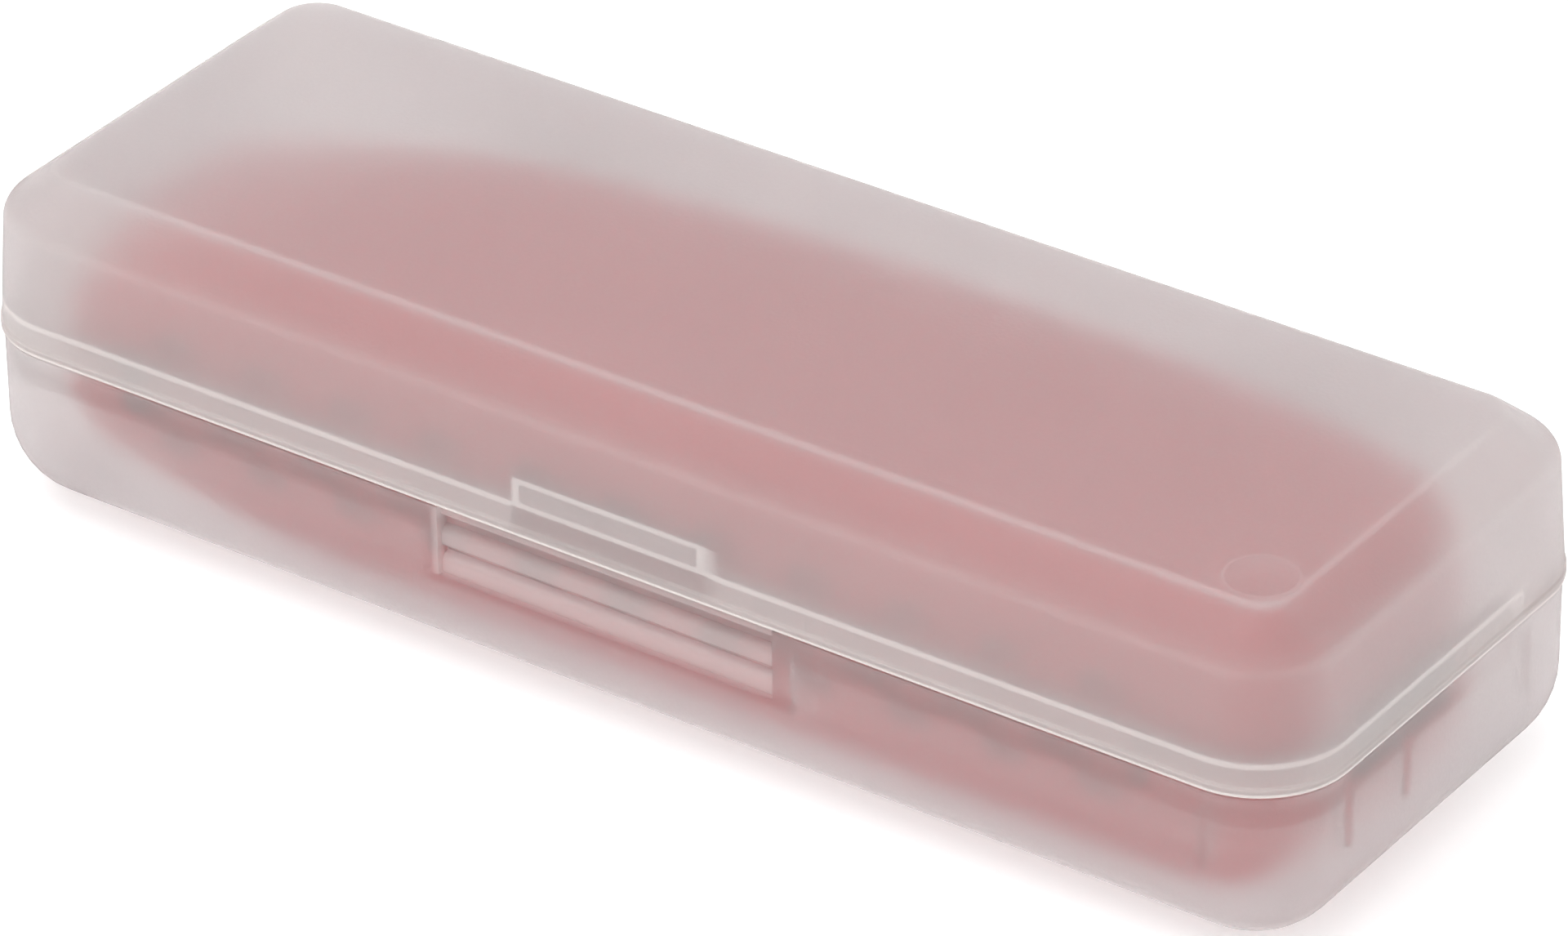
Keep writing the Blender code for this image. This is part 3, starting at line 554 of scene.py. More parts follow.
def lid_milk_and_highlight(x, y, z):
    top = CASE_HEIGHT - PARTING
    inset = outline_inset(x, y)
    on_outside = inset < 1.1 and z < POCKET_BAND[-1][0]
    if on_outside and y < 0 and POCKET_X[0] - 0.1 < x < POCKET_X[1] + 0.1:
        milk_and_highlight = band_milk_and_highlight(POCKET_BAND, z)
        beside = min(x - POCKET_X[0], POCKET_X[1] - x)
        # Painted highlight lines down each side of the catch tongue.
        if RIM_BAND[-1][0] - 0.3 < z < POCKET_BAND[-1][0] - 0.1 and beside < POCKET_BORDER:
            milk_and_highlight = POCKET_LINE_HIGHLIGHT
        return milk_and_highlight
    if on_outside and y < RIM_BAND_END_Y and z < RIM_BAND[-1][0]:
        return band_milk_and_highlight(RIM_BAND, z)
    # Painted highlight along the lid's rim edge, all round.
    if z < RIM_BAND[1][0]:
        return 1.0
    # Painted highlight line along the plateau's edge.
    plateau_highlight = max(0.0, 1 - math.hypot(inset - PLATEAU_INSET, z - top) / PLATEAU_EDGE_WIDTH)
    chamfer = min(1.0, (top - z) / 0.6)
    wall = min(1.0, max(0.0, (SHOULDER_HEIGHT + 0.5 - z) / 0.8))
    # Painted highlight line along the shoulder.
    shoulder = max(0.0, 1 - abs(SHOULDER_HEIGHT - 0.3 - z) / 0.9)
    side = CHAMFER_MILK * chamfer + (WALL_MILK - CHAMFER_MILK) * wall + SHOULDER_HIGHLIGHT * shoulder
    ridge = MARK_MILK if z > top + 0.01 else 0.0
    return max(PLATEAU_EDGE_HIGHLIGHT * plateau_highlight, side, ridge)


def case_base(frost, polished):
    breaks = edges(*RECESS_X, RECESS_SOFT) + edges(*CATCH_X, CATCH_SOFT)
    breaks += edges(*PAD_X, PAD_SOFT) + edges(*FRONT_LINE_X, RIB_SOFT)
    ends = edges(BELOW_ALL, LIP_END_Y, LIP_END_SOFT)[3:] + edges(*END_LINE_Y, RIB_SOFT)
    for y in LOCATING_RIBS_Y:
        ends += edges(y - 0.5, y + 0.5, RIB_SOFT)
    walls = wall_columns(stations(breaks, ends), base_profile)
    obj = mesh_object("case_base_shell", walls, (frost, polished))
    arms, bores = [], []
    for station in (-HINGE_STATION, HINGE_STATION):
        near = LID_KNUCKLE_HALF + GAP
        for side in (-1, 1):
            ends = sorted((station + side * near, station + side * (near + BASE_KNUCKLE_LENGTH)))
            arms.append(knuckle(-1, *ends))
        bores.append(hinge_bore(station))
    boolean(obj, join(*arms), "UNION")
    boolean(obj, join(*bores), "DIFFERENCE")
    for face in obj.data.polygons:
        x, y, z = face.center / MM
        on_tongue = CATCH_X[0] < x < CATCH_X[1] and PARTING + 0.12 < z < PARTING + 2.3
        if on_tongue and y - CASE_Y < -HALF_WIDTH + 3.2:
            face.material_index = 1
    add_milk_and_highlight(obj, base_milk)
    return stand_for(obj, "case", "case_base")


def knuckle(side, x0, x1):
    """A hinge knuckle and its arm: side -1 hangs from the base wall, +1 from the lid wall."""
    wall_y = HALF_WIDTH - SHOULDER_INSET
    start = math.degrees(math.asin(1.5 * GAP / KNUCKLE_RADIUS))
    ring = arc((HINGE_Y, 0.0), KNUCKLE_RADIUS, 180 + start, -70, 36)
    near = [(wall_y, -KNUCKLE_ARM_DROP), (wall_y, -1.5 * GAP)]
    outline = [(y, PARTING - side * z) for y, z in near + ring]
    return prism_x(outline, x0, x1)


def hinge_bore(station):
    hole = circle((HINGE_Y, PARTING), PIN_HOLE_RADIUS, 32)
    return prism_x(hole, station - BORE_HALF, station + BORE_HALF)


def lid_sections():
    slope = math.atan2(CASE_HEIGHT - PARTING - SHOULDER_HEIGHT, PLATEAU_INSET - SHOULDER_INSET)
    ceiling = CASE_HEIGHT - LID_WALL
    shoulder = PARTING + SHOULDER_HEIGHT
    inner = SHOULDER_INSET + LID_WALL
    edge = (SHOULDER_INSET + LID_WALL * math.sin(slope), shoulder - LID_WALL * math.cos(slope))
    inner_shoulder = edge[1] + (inner - edge[0]) * math.tan(slope)
    inner_plateau = edge[0] + (ceiling - edge[1]) / math.tan(slope)
    rim = PARTING + GAP / 2
    outer = fillet(
        [
            (PLATEAU_INSET + 1.6, CASE_HEIGHT), (PLATEAU_INSET, CASE_HEIGHT),
            (SHOULDER_INSET, shoulder), (BEAD, PARTING + BEAD_TOP + 0.25),
            (0.0, PARTING + BEAD_TOP), (0.0, rim + 0.12), (BEAD, rim), (BEAD + 0.8, rim),
        ],
        [0, 1.5, 2.2, 0.25, 0.2, 0.1, 0.04, 0],
    )
    outer = at_heights(split_long(outer), [PARTING + z for z, _ in RIM_BAND + POCKET_BAND])
    inside = fillet(
        [
            (BEAD + 0.8, rim), (BEAD + LID_WALL, rim), (inner, inner_shoulder),
            (inner_plateau, ceiling), (inner_plateau + 1.6, ceiling),
        ],
        [0, 0.15, 1.2, 1.2, 0],
    )
    return outer + split_long(inside)[1:]


def case_lid(frost):
    profile = lid_sections()
    inside = (POCKET_X[0] + POCKET_BORDER, POCKET_X[1] - POCKET_BORDER)
    breaks = edges(*POCKET_X, BAND_SOFT) + edges(*inside, BAND_SOFT)
    ends = edges(BELOW_ALL, RIM_BAND_END_Y, BAND_SOFT)[3:]
    walls = wall_columns(stations(breaks, ends), lambda side, t: profile)
    obj = mesh_object("case_lid_shell", walls, (frost,))
    dish = ((MARK_RADIUS - 0.5, -0.1), (MARK_RADIUS - 0.3, 0.0), (MARK_RADIUS + 0.1, 0.2))
    ridge = ((MARK_RADIUS - 0.3, -0.4), (MARK_RADIUS - 0.3, 0.0), (MARK_RADIUS - 0.1, 0.03),
             (MARK_RADIUS + 0.1, 0.03), (MARK_RADIUS + 0.3, 0.0), (MARK_RADIUS + 0.3, -0.4))
    for section, operation, closed in ((dish, "DIFFERENCE", False), (ridge, "UNION", True)):
        rings = []
        for radius, z in section:
            rings.append([(x, y, CASE_HEIGHT + z) for x, y in circle(MARK_CENTER, radius, 64)])
        boolean(obj, loft(rings, closed), operation, 10)
    arms, bores = [], []
    for station in (-HINGE_STATION, HINGE_STATION):
        arms.append(knuckle(1, station - LID_KNUCKLE_HALF, station + LID_KNUCKLE_HALF))
        bores.append(hinge_bore(station))
    boolean(obj, join(*arms), "UNION")
    boolean(obj, join(*bores), "DIFFERENCE")
    add_milk_and_highlight(obj, lid_milk_and_highlight)
    return stand_for(obj, "case", "case_lid")


# --- Cradle --------------------------------------------------------------------------------------
def cradle_back(x):
    """The bowed edge on the hinge side."""
    depth, length, power = RIGHT_BOW if x > BOW_MIDDLE else LEFT_BOW
    return CRADLE_BACK - depth * (abs(x - BOW_MIDDLE) / length) ** power


def cradle_height(x, full, tail):
    u = (x - CRADLE_LEFT) / (CRADLE_TAPER_START - CRADLE_LEFT)
    u = min(max(u, 0.0), 1.0)
    return tail + (full - tail) * math.sin(u * math.pi / 2)


def cradle_section(x, end_inset, wall, full, tail, corner, crown, sign):
    inset = wall + end_inset
    y0 = CRADLE_FRONT + inset
    y1 = cradle_back(x) - inset
    height = cradle_height(x, full, tail) - inset
    if sign < 0:
        nose = max(0.0, (x - TRAY_NOSE_START) / (CRADLE_RIGHT - TRAY_NOSE_START))
        height -= TRAY_NOSE_RISE * nose ** 2
    radius = min(corner - wall, height * 0.8)
    across = arc((y0 + radius, height - radius), radius, 180, 90, 10)
    for step in range(1, 12):
        u = step / 12
        across.append((y0 + radius + (y1 - y0 - 2 * radius) * u, height + crown * (1 - (2 * u - 1) ** 2)))
    across += arc((y1 - radius, height - radius), radius, 90, 0, 10)
    points = [(y0, GAP / 2)] + across + [(y1, GAP / 2)]
    return [(x, y, PARTING + sign * z) for y, z in points]


def cradle_skin(wall, *shape):
    radius = CRADLE_END_RADIUS - wall
    left, right = CRADLE_LEFT + wall, CRADLE_RIGHT - wall
    turns = [math.radians(9 * k) for k in range(11)]
    ends = [(radius * (1 - math.cos(a)), radius * (1 - math.sin(a))) for a in turns]
    places = [(left + along, inset) for along, inset in ends]
    middle = 50
    span = right - left - 2 * radius
    places += [(left + radius + span * i / middle, 0.0) for i in range(1, middle)]
    places += [(right - along, inset) for along, inset in ends[::-1]]
    return [cradle_section(x, inset, wall, *shape) for x, inset in places]


def cradle_half(*shape):
    """An open shell: outer skin, inner skin and the rim between them."""
    outer, inner = cradle_skin(0.0, *shape), cradle_skin(CRADLE_WALL, *shape)
    rows, count = len(outer), len(outer[0])
    verts = [p for ring in outer + inner for p in ring]
    shift = rows * count
    faces = []
    for start in (0, shift):
        for i in range(rows - 1):
            for j in range(count - 1):
                a = start + i * count + j
                faces.append([a, a + 1, a + count + 1, a + count])
        faces.append([start + j for j in range(count)])
        faces.append([start + (rows - 1) * count + j for j in range(count)])
    for j in (0, count - 1):
        for i in range(rows - 1):
            a = i * count + j
            faces.append([a, a + count, a + count + shift, a + shift])
    for i in (0, rows - 1):
        a, b = i * count, i * count + count - 1
        faces.append([a, b, b + shift, a + shift])
    return verts, faces


def cradle_cuts(low, high, vent_low, vent_high):
    """Slots through the front and back, the long vent that joins them and the one at the right end."""
    parts = [prism_y(rounded_box(*VENT_X, PARTING + vent_low, PARTING + vent_high, 0.8), -30, 25)]
    outline = rounded_box(*END_VENT_Y, PARTING + vent_low, PARTING + vent_high, 0.8)
    parts.append(prism_x(outline, CRADLE_RIGHT - 3.0, CRADLE_RIGHT + 1.0))
    for i in range(SLOT_COUNT):
        x = SLOT_FIRST + SLOT_PITCH * i
        outline = rounded_box(x - SLOT_WIDTH / 2, x + SLOT_WIDTH / 2, PARTING + low, PARTING + high, 1.0)
        parts.append(prism_y(outline, -30.5, 25.5))
    return parts


def liners():
    """Low inner walls of the tray, behind the slots on its front and back."""
    parts = []
    count = 40
    for front in (True, False):
        rings = []
        for i in range(count + 1):
            x = LINER_X[0] + (LINER_X[1] - LINER_X[0]) * i / count
            near = CRADLE_FRONT + LINER_SETBACK if front else cradle_back(x) - LINER_SETBACK
            far = near + (LINER_THICKNESS if front else -LINER_THICKNESS)
            outline = rounded_box(*sorted((near, far)), PARTING + LINER_LOW, PARTING + LINER_HIGH, 0.4, 4)
            rings.append([(x, y, z) for y, z in outline])
        parts.append(loft(rings))
    return join(*parts)


def handle_saddle(x):
    """A rib across the tray with a hollow that the handle lies in."""
    half_w, half_h, middle = handle_size(x)
    low = PARTING - cradle_height(x, CRADLE_DOWN, CRADLE_DOWN_TAIL) + CRADLE_WALL / 2
    clear = 1.0 + 0.6 / half_w
    hollow = half_profile(half_w * clear, half_h * clear, -1, 24)
    notch = [(y, min(middle + z, middle - 1.0)) for y, z in hollow]
    reach = half_w + 4.0
    outline = [(ROLLER_Y - reach, low), (ROLLER_Y - reach, notch[0][1])]
    outline += notch
    outline += [(ROLLER_Y + reach, notch[-1][1]), (ROLLER_Y + reach, low)]
    return prism_x(outline, x - SADDLE_THICKNESS / 2, x + SADDLE_THICKNESS / 2)


def cradle(red):
    cover = cradle_half(CRADLE_UP, CRADLE_UP_TAIL, CRADLE_UP_CORNER, CRADLE_CROWN, 1)
    obj = mesh_object("cradle_cover_shell", cover, (red,))
    for part in cradle_cuts(-1.0, SLOT_TOP, -2.0, VENT_TOP):
        boolean(obj, part, "DIFFERENCE")
    stand_for(obj, "cradle", "cradle_cover")
    tray = cradle_half(CRADLE_DOWN, CRADLE_DOWN_TAIL, CRADLE_DOWN_CORNER, 0.0, -1)
    obj = mesh_object("cradle_tray_shell", tray, (red,))
    for part in cradle_cuts(-SLOT_BOTTOM, 1.0, -VENT_BOTTOM, 2.0):
        boolean(obj, part, "DIFFERENCE")
    boolean(obj, join(*(handle_saddle(x) for x in SADDLES_X)), "UNION")
    feet = []
    for x in FEET_X:
        for y in FEET_Y:
            top = PARTING - CRADLE_DOWN + CRADLE_WALL / 2
            feet.append(prism_z(circle((x, y), FOOT_RADIUS, 24), FLOOR + GAP, top))
    boolean(obj, join(*feet), "UNION")
    boolean(obj, liners(), "UNION")
    stand_for(obj, "cradle", "cradle_tray")


# --- Handle --------------------------------------------------------------------------------------
def handle_size(x):
    """Half-width, half-height and middle height of the handle at x."""
    u = (x - HANDLE_TAIL) / (HANDLE_FRONT - HANDLE_TAIL)
    swell = math.sin(math.pi * min(max(u, 0.0), 1.0)) ** 0.8
    return 6.8 + 4.2 * swell, 5.0 + 2.8 * swell, DRUM_Z + 1.0 + 3.4 * (1 - u) ** 2


def half_profile(half_w, half_h, sign, steps=32):
    """Half of a rounded section, from its front edge over to its back edge."""
    points = []
    for i in range(steps + 1):
        t = math.pi * i / steps
        c, s = math.cos(t), math.sin(t)
        y = -half_w * math.copysign(abs(c) ** SECTION_POWER, c)
        points.append((ROLLER_Y + y, sign * half_h * abs(s) ** SECTION_POWER))
    return points


def full_ring(x, inset, at=None):
    """Whole section of the handle at x, or that section drawn at another place along it."""
    half_w, half_h, middle = handle_size(x)
    upper = half_profile(half_w - inset, half_h - inset, 1)
    lower = half_profile(half_w - inset, half_h - inset, -1)
    place = x if at is None else at
    return [(place, y, middle + z) for y, z in upper + lower[-2:0:-1]]


def handle_shell(sign):
    step = GRIP_THICKNESS + GAP
    a, b = GRIP_X[0] - GAP, GRIP_X[1] + GAP
    places = [(HANDLE_TAIL, 0.25), (HANDLE_TAIL + 0.1, 0.08), (HANDLE_TAIL + 0.3, 0.0)]
    places += [(HANDLE_TAIL + (a - HANDLE_TAIL) * i / 16, 0.0) for i in range(1, 16)]
    places += [(a - 0.3, 0.0), (a - 0.1, 0.08), (a, 0.3), (a + 0.01, step)]
    places += [(a + (b - a) * i / 16, step) for i in range(1, 16)]
    places += [(b - 0.01, step), (b, 0.3), (b + 0.1, 0.08), (b + 0.3, 0.0)]
    places += [(b + (HANDLE_FRONT - b) * i / 9, 0.0) for i in range(1, 9)]
    places += [(HANDLE_FRONT - 0.3, 0.0), (HANDLE_FRONT - 0.1, 0.08), (HANDLE_FRONT, 0.25)]
    outer, inner = [], []
    for x, inset in places:
        half_w, half_h, middle = handle_size(x)
        for rings, less in ((outer, inset), (inner, inset + HANDLE_WALL)):
            profile = half_profile(half_w - less, half_h - less, sign)
            rings.append([(x, y, middle + z + sign * GAP / 2) for y, z in profile])
    return loft([o + i[::-1] for o, i in zip(outer, inner)])


def grip_sleeve():
    """A rubber sleeve with a raised hem at each end and waisted ribs between."""
    x0, x1 = GRIP_X
    hem, pitch, depth = 2.6, 2.2, 0.5
    places, steps = [], 200
    for i in range(steps + 1):
        x = x0 + (x1 - x0) * i / steps
        near = min(x - x0, x1 - x)
        if near < 0.4:
            inset = 0.4 - math.sqrt(max(0.0, 0.16 - (0.4 - near) ** 2))
        elif near < hem:
            inset = 0.0
        else:
            groove = 0.5 - 0.5 * math.cos(2 * math.pi * (near - hem) / pitch)
            inset = depth * groove ** 1.6
        places.append((x, inset))
    inner = [x1 - (x1 - x0) * i / 20 for i in range(21)]
    rings = [full_ring(x, inset) for x, inset in places] + [full_ring(x, GRIP_THICKNESS) for x in inner]
    return loft(rings, closed=True)


def end_cap():
    x = HANDLE_TAIL - GAP
    wall = HANDLE_WALL + GAP
    rows = [(x + 5.0, wall), (x, wall), (x, 0.25), (x - 0.15, 0.06), (x - 0.35, 0.0)]
    for k in range(1, 13):
        angle = math.radians(7.0 * k)
        rows.append((x - 0.8 - 2.2 * math.sin(angle), 2.8 * (1 - math.cos(angle))))
    return loft([full_ring(HANDLE_TAIL, inset, at) for at, inset in rows])


def neck_collar():
    x0, x1 = HANDLE_FRONT + GAP, HANDLE_FRONT + 3.0
    middle = handle_size(HANDLE_FRONT)[2]
    rows = [(x0, 0.35), (x0 + 0.12, 0.15), (x0 + 0.35, 0.1), (x0 + 1.1, 0.15), (x0 + 1.25, 0.4)]
    rows += [(x0 + 1.4, 0.45), (x0 + 1.55, 0.25), (x0 + 2.1, 0.5), (x1 - 0.15, 0.9), (x1, 1.2)]
    rings = [full_ring(HANDLE_FRONT, inset, x) for x, inset in rows]
    count = len(rings[0])
    hole = []
    for i in range(count):
        angle = math.pi - 2 * math.pi * i / count
        radius = SHANK_RADIUS + GAP
        hole.append((ROLLER_Y + radius * math.cos(angle), middle + radius * math.sin(angle)))
    rings += [[(x, y, z) for y, z in hole] for x in (x1, x0)]
    return loft(rings, closed=True)


def fork_outline():
    outer = ARM_INNER + ARM_THICKNESS
    bridge = 45.5
    tip = DRUM_X + 4.2
    half = [
        (HANDLE_FRONT + 3.4, SHANK_RADIUS), (43.6, SHANK_RADIUS + 1.6), (bridge, outer - 2.5),
        (bridge + 2.5, outer), (tip, outer), (tip, ARM_INNER), (bridge + 4.6, ARM_INNER),
        (bridge + 3.2, ARM_INNER - 1.5), (bridge + 3.2, 0.0),
    ]
    half = fillet(half, [0, 3.0, 3.0, 2.2, 1.1, 1.1, 0.7, 0.9, 0], 7)[:-1]
    mirrored = [(x, -y) for x, y in reversed(half)]
    return [(x, ROLLER_Y + y) for x, y in half + mirrored]


def head_fork():
    low = DRUM_Z - FORK_THICKNESS / 2
    obj = mesh_object("head_fork_body", prism_z(fork_outline(), low, low + FORK_THICKNESS))
    bevel(obj, 0.9, 5, 60)
    middle = handle_size(HANDLE_FRONT)[2]
    shank = prism_x(circle((ROLLER_Y, middle), SHANK_RADIUS, 48), *SHANK_X)
    boolean(obj, shank, "UNION")
    boolean(obj, lathe_y([(BORE_RADIUS, -20), (BORE_RADIUS, 20)], closed=False), "DIFFERENCE")
    return obj


def handle(materials):
    pieces = (
        ("handle_lower_shell", handle_shell(-1), "handle"),
        ("handle_upper_shell", handle_shell(1), "handle"),
        ("handle_grip", grip_sleeve(), "grip"),
        ("handle_end_cap", end_cap(), "gold"),
        ("neck_collar", neck_collar(), "gold"),
    )
    for node, geometry, slot in pieces:
        stand_for(mesh_object(f"{node}_body", geometry, (materials[slot],)), slot, node)
    fork = head_fork()
    fork.data.materials.clear()
    fork.data.materials.append(materials["head"])
    stand_for(fork, "head", "head_fork")


# --- Drum ----------------------------------------------------------------------------------------
def ring_profile(inner, outer, y0, y1, edge=0.2):
    """A tube's cross-section as (radius, y), with its four corners rounded."""
    return rounded_box(inner, outer, y0, y1, edge, 4)


def needle_disc(number, y):
    """A thin ring with slender four-sided needles at its edge, staggered from its neighbours."""
    phase = math.pi / NEEDLES_PER_DISC * (number % 2)
    half = DISC_THICKNESS / 2
    outline, bore = [], []
    for i in range(NEEDLES_PER_DISC):
        middle = phase + 2 * math.pi * i / NEEDLES_PER_DISC
        for turn, radius, thin in (
            (-0.5, DISC_ROOT, 1.0), (-0.27, DISC_ROOT + 0.02, 1.0), (-0.2, DISC_ROOT + 0.25, 1.0),
            (-0.13, DISC_ROOT + 0.8, 0.75), (0.0, NEEDLE_TIP, 0.08), (0.13, DISC_ROOT + 0.8, 0.75),
            (0.2, DISC_ROOT + 0.25, 1.0), (0.27, DISC_ROOT + 0.02, 1.0),
        ):
            angle = middle + turn * 2 * math.pi / NEEDLES_PER_DISC
            outline.append((radius * math.cos(angle), radius * math.sin(angle), thin))
            bore.append((DISC_BORE * math.cos(angle), DISC_BORE * math.sin(angle), 1.0))
    rings = []
    for ring, side in ((bore, -half), (outline, -half), (outline, half), (bore, half)):
        rings.append([(DRUM_X + x, ROLLER_Y + y + side * thin, DRUM_Z + z) for x, z, thin in ring])
    return loft(rings, closed=True)


def drum(materials):
    def part(node, geometry, slot):
        stand_for(mesh_object(f"{node}_body", geometry, (materials[slot],)), slot, node)

    core = DRUM_HALF - DRUM_CAP_THICKNESS - GAP
    part("drum_core", lathe_y(ring_profile(BORE_RADIUS, CORE_RADIUS, -core, core)), "drum")
    for name, sign in (("front", -1), ("back", 1)):
        y0, y1 = sorted((sign * DRUM_HALF, sign * (DRUM_HALF - DRUM_CAP_THICKNESS)))
        part(f"drum_cap_{name}", lathe_y(ring_profile(BORE_RADIUS, SPACER_RADIUS, y0, y1, 0.3), 96), "drum")
        near = sign * (ARM_INNER + ARM_THICKNESS + GAP)
        far = near + sign * AXLE_CAP_THICKNESS
        dome = [(AXLE_CAP_RADIUS - 0.1, near), (AXLE_CAP_RADIUS, near + sign * 0.1)]
        for k in range(9):
            angle = math.radians(10 * k)
            reach = AXLE_CAP_RADIUS - 0.5 + 0.5 * math.cos(angle)
            dome.append((reach, near + sign * 0.35 + (far - near - sign * 0.35) * math.sin(angle)))
        dome.append((0.9, far))
        part(f"axle_cap_{name}", lathe_y(dome, closed=False), "head")
    first = -DISC_PITCH * (DISC_COUNT - 1) / 2
    for i in range(DISC_COUNT):
        part(f"needle_disc_{i + 1:02d}", needle_disc(i, first + DISC_PITCH * i), "gold")
    for i in range(DISC_COUNT - 1):
        y = first + DISC_PITCH * (i + 0.5)
        half = SPACER_THICKNESS / 2
        section = ring_profile(DISC_BORE, SPACER_RADIUS, y - half, y + half)
        part(f"disc_spacer_{i + 1:02d}", lathe_y(section, 96), "drum")
    end = ARM_INNER + ARM_THICKNESS
    small = AXLE_RADIUS - 0.3
    axle = [(small, -end), (AXLE_RADIUS, -end + 0.3), (AXLE_RADIUS, end - 0.3), (small, end)]
    part("drum_axle", lathe_y(axle, closed=False), "steel")


def hinge_pins(steel):
    end = LID_KNUCKLE_HALF + GAP + BASE_KNUCKLE_LENGTH
    small = PIN_RADIUS - 0.2
    section = ((-end, small), (-end + 0.2, PIN_RADIUS), (end - 0.2, PIN_RADIUS), (end, small))
    for name, station in (("left", -HINGE_STATION), ("right", HINGE_STATION)):
        rings = []
        for x, radius in section:
            rings.append([(station + x, y, z) for y, z in circle((HINGE_Y, PARTING), radius, 32)])
        obj = mesh_object(f"hinge_pin_{name}_body", loft(rings), (steel,))
        stand_for(obj, "steel", f"hinge_pin_{name}")


# --- Materials -----------------------------------------------------------------------------------
class Shader:
    """A Principled material with a short way to add nodes in object coordinates."""

    def __init__(self, name, **sockets):
        self.mat = bpy.data.materials.new(name)
        self.mat.use_nodes = True
        self.nodes, self.links = self.mat.node_tree.nodes, self.mat.node_tree.links
        self.shader = self.nodes["Principled BSDF"]
        for socket, value in sockets.items():
            self.shader.inputs[socket.replace("_", " ")].default_value = value
        self.place = self.nodes.new("ShaderNodeTexCoord").outputs["Object"]

    def noise(self, scale, detail, stretch=(1, 1, 1)):
        mapping = self.nodes.new("ShaderNodeMapping")
        mapping.inputs["Scale"].default_value = stretch
        self.links.new(self.place, mapping.inputs["Vector"])
        node = self.nodes.new("ShaderNodeTexNoise")
        node.inputs["Scale"].default_value = scale
        node.inputs["Detail"].default_value = detail
        self.links.new(mapping.outputs["Vector"], node.inputs["Vector"])
        return node.outputs["Fac"]

    def specks(self, scale, size):
        """1 on sparse small dots, 0 elsewhere."""
        node = self.nodes.new("ShaderNodeTexVoronoi")
        node.inputs["Scale"].default_value = scale
        self.links.new(self.place, node.inputs["Vector"])
        return self.scaled(node.outputs["Distance"], size, size * 0.5, 0.0, 1.0)

    def scaled(self, value, low, high, to_low, to_high):
        node = self.nodes.new("ShaderNodeMapRange")
        for name, number in (("From Min", low), ("From Max", high), ("To Min", to_low), ("To Max", to_high)):
            node.inputs[name].default_value = number
        self.links.new(value, node.inputs["Value"])
        return node.outputs["Result"]

    def colors(self, value, first, second):
        node = self.nodes.new("ShaderNodeMix")
        node.data_type = "RGBA"
        node.inputs["A"].default_value = (*first, 1)
        node.inputs["B"].default_value = (*second, 1)
        self.links.new(value, node.inputs["Factor"])
        return node.outputs["Result"]

    def over(self, value, below, color):
        node = self.nodes.new("ShaderNodeMix")
        node.data_type = "RGBA"
        node.inputs["B"].default_value = (*color, 1)
        self.links.new(below, node.inputs["A"])
        self.links.new(value, node.inputs["Factor"])
        return node.outputs["Result"]

    def bump(self, value, strength, distance):
        node = self.nodes.new("ShaderNodeBump")
        node.inputs["Strength"].default_value = strength
        node.inputs["Distance"].default_value = distance
        self.links.new(value, node.inputs["Height"])
        normal = self.shader.inputs["Normal"]
        if normal.links:
            self.links.new(normal.links[0].from_socket, node.inputs["Normal"])
        self.links.new(node.outputs["Normal"], normal)

    def attribute(self, name):
        node = self.nodes.new("ShaderNodeAttribute")
        node.attribute_name = name
        return node.outputs["Fac"]

    def connect(self, value, socket):
        self.links.new(value, self.shader.inputs[socket])


def frosted_plastic():
    s = Shader("frosted_polypropylene", IOR=1.36)
    cloud = s.noise(45, 3)
    base = s.colors(cloud, (0.80, 0.764, 0.765), (0.83, 0.793, 0.793))
    # The milk attribute makes the plastic paler and less clear where it is thick, and paints highlight lines
    # on the lid.
    milk_and_highlight = s.attribute("milk_and_highlight")
    base = s.over(s.scaled(milk_and_highlight, 0, 1, 0, 0.9), base, (0.88, 0.82, 0.79))
    base = s.over(s.specks(55, 0.018), base, (0.45, 0.36, 0.34))
    s.connect(s.scaled(milk_and_highlight, 0, 1, FROST_TRANSMISSION, MILKY_TRANSMISSION), "Transmission Weight")
    s.connect(base, "Base Color")
    grain = s.noise(2600, 1)
    s.connect(s.scaled(grain, 0.3, 0.7, FROST_ROUGHNESS - 0.05, FROST_ROUGHNESS + 0.05), "Roughness")
    s.bump(grain, 0.25, 0.00006)
    s.bump(s.noise(160, 2, (1, 1, 0.4)), 0.15, 0.0002)
    return s.mat


def polished_plastic():
    s = Shader("polished_polypropylene", Transmission_Weight=0.97, IOR=1.45)
    s.connect(s.colors(s.noise(60, 2), (0.80, 0.77, 0.78), (0.86, 0.83, 0.84)), "Base Color")
    s.connect(s.scaled(s.noise(900, 2), 0.3, 0.7, 0.08, 0.16), "Roughness")
    s.bump(s.noise(500, 2), 0.1, 0.0001)
    return s.mat


def red_plastic():
    s = Shader("red_polypropylene")
    s.connect(s.colors(s.noise(60, 4), (0.60, 0.028, 0.040), (0.68, 0.040, 0.052)), "Base Color")
    s.connect(s.scaled(s.noise(1200, 3), 0.3, 0.7, 0.32, 0.46), "Roughness")
    s.bump(s.noise(2200, 2), 0.2, 0.00005)
    return s.mat


def plum_plastic(name):
    s = Shader(name)
    s.connect(s.colors(s.noise(40, 4), (0.150, 0.050, 0.080), (0.180, 0.062, 0.096)), "Base Color")
    s.connect(s.scaled(s.noise(900, 4), 0.3, 0.7, 0.28, 0.42), "Roughness")
    s.bump(s.noise(2600, 2), 0.25, 0.00005)
    return s.mat


def grip_rubber():
    s = Shader("plum_grip_rubber")
    s.connect(s.colors(s.noise(120, 5), (0.080, 0.026, 0.040), (0.105, 0.036, 0.054)), "Base Color")
    s.connect(s.scaled(s.noise(700, 4), 0.3, 0.7, 0.62, 0.85), "Roughness")
    s.bump(s.noise(3200, 3), 0.5, 0.00008)
    return s.mat


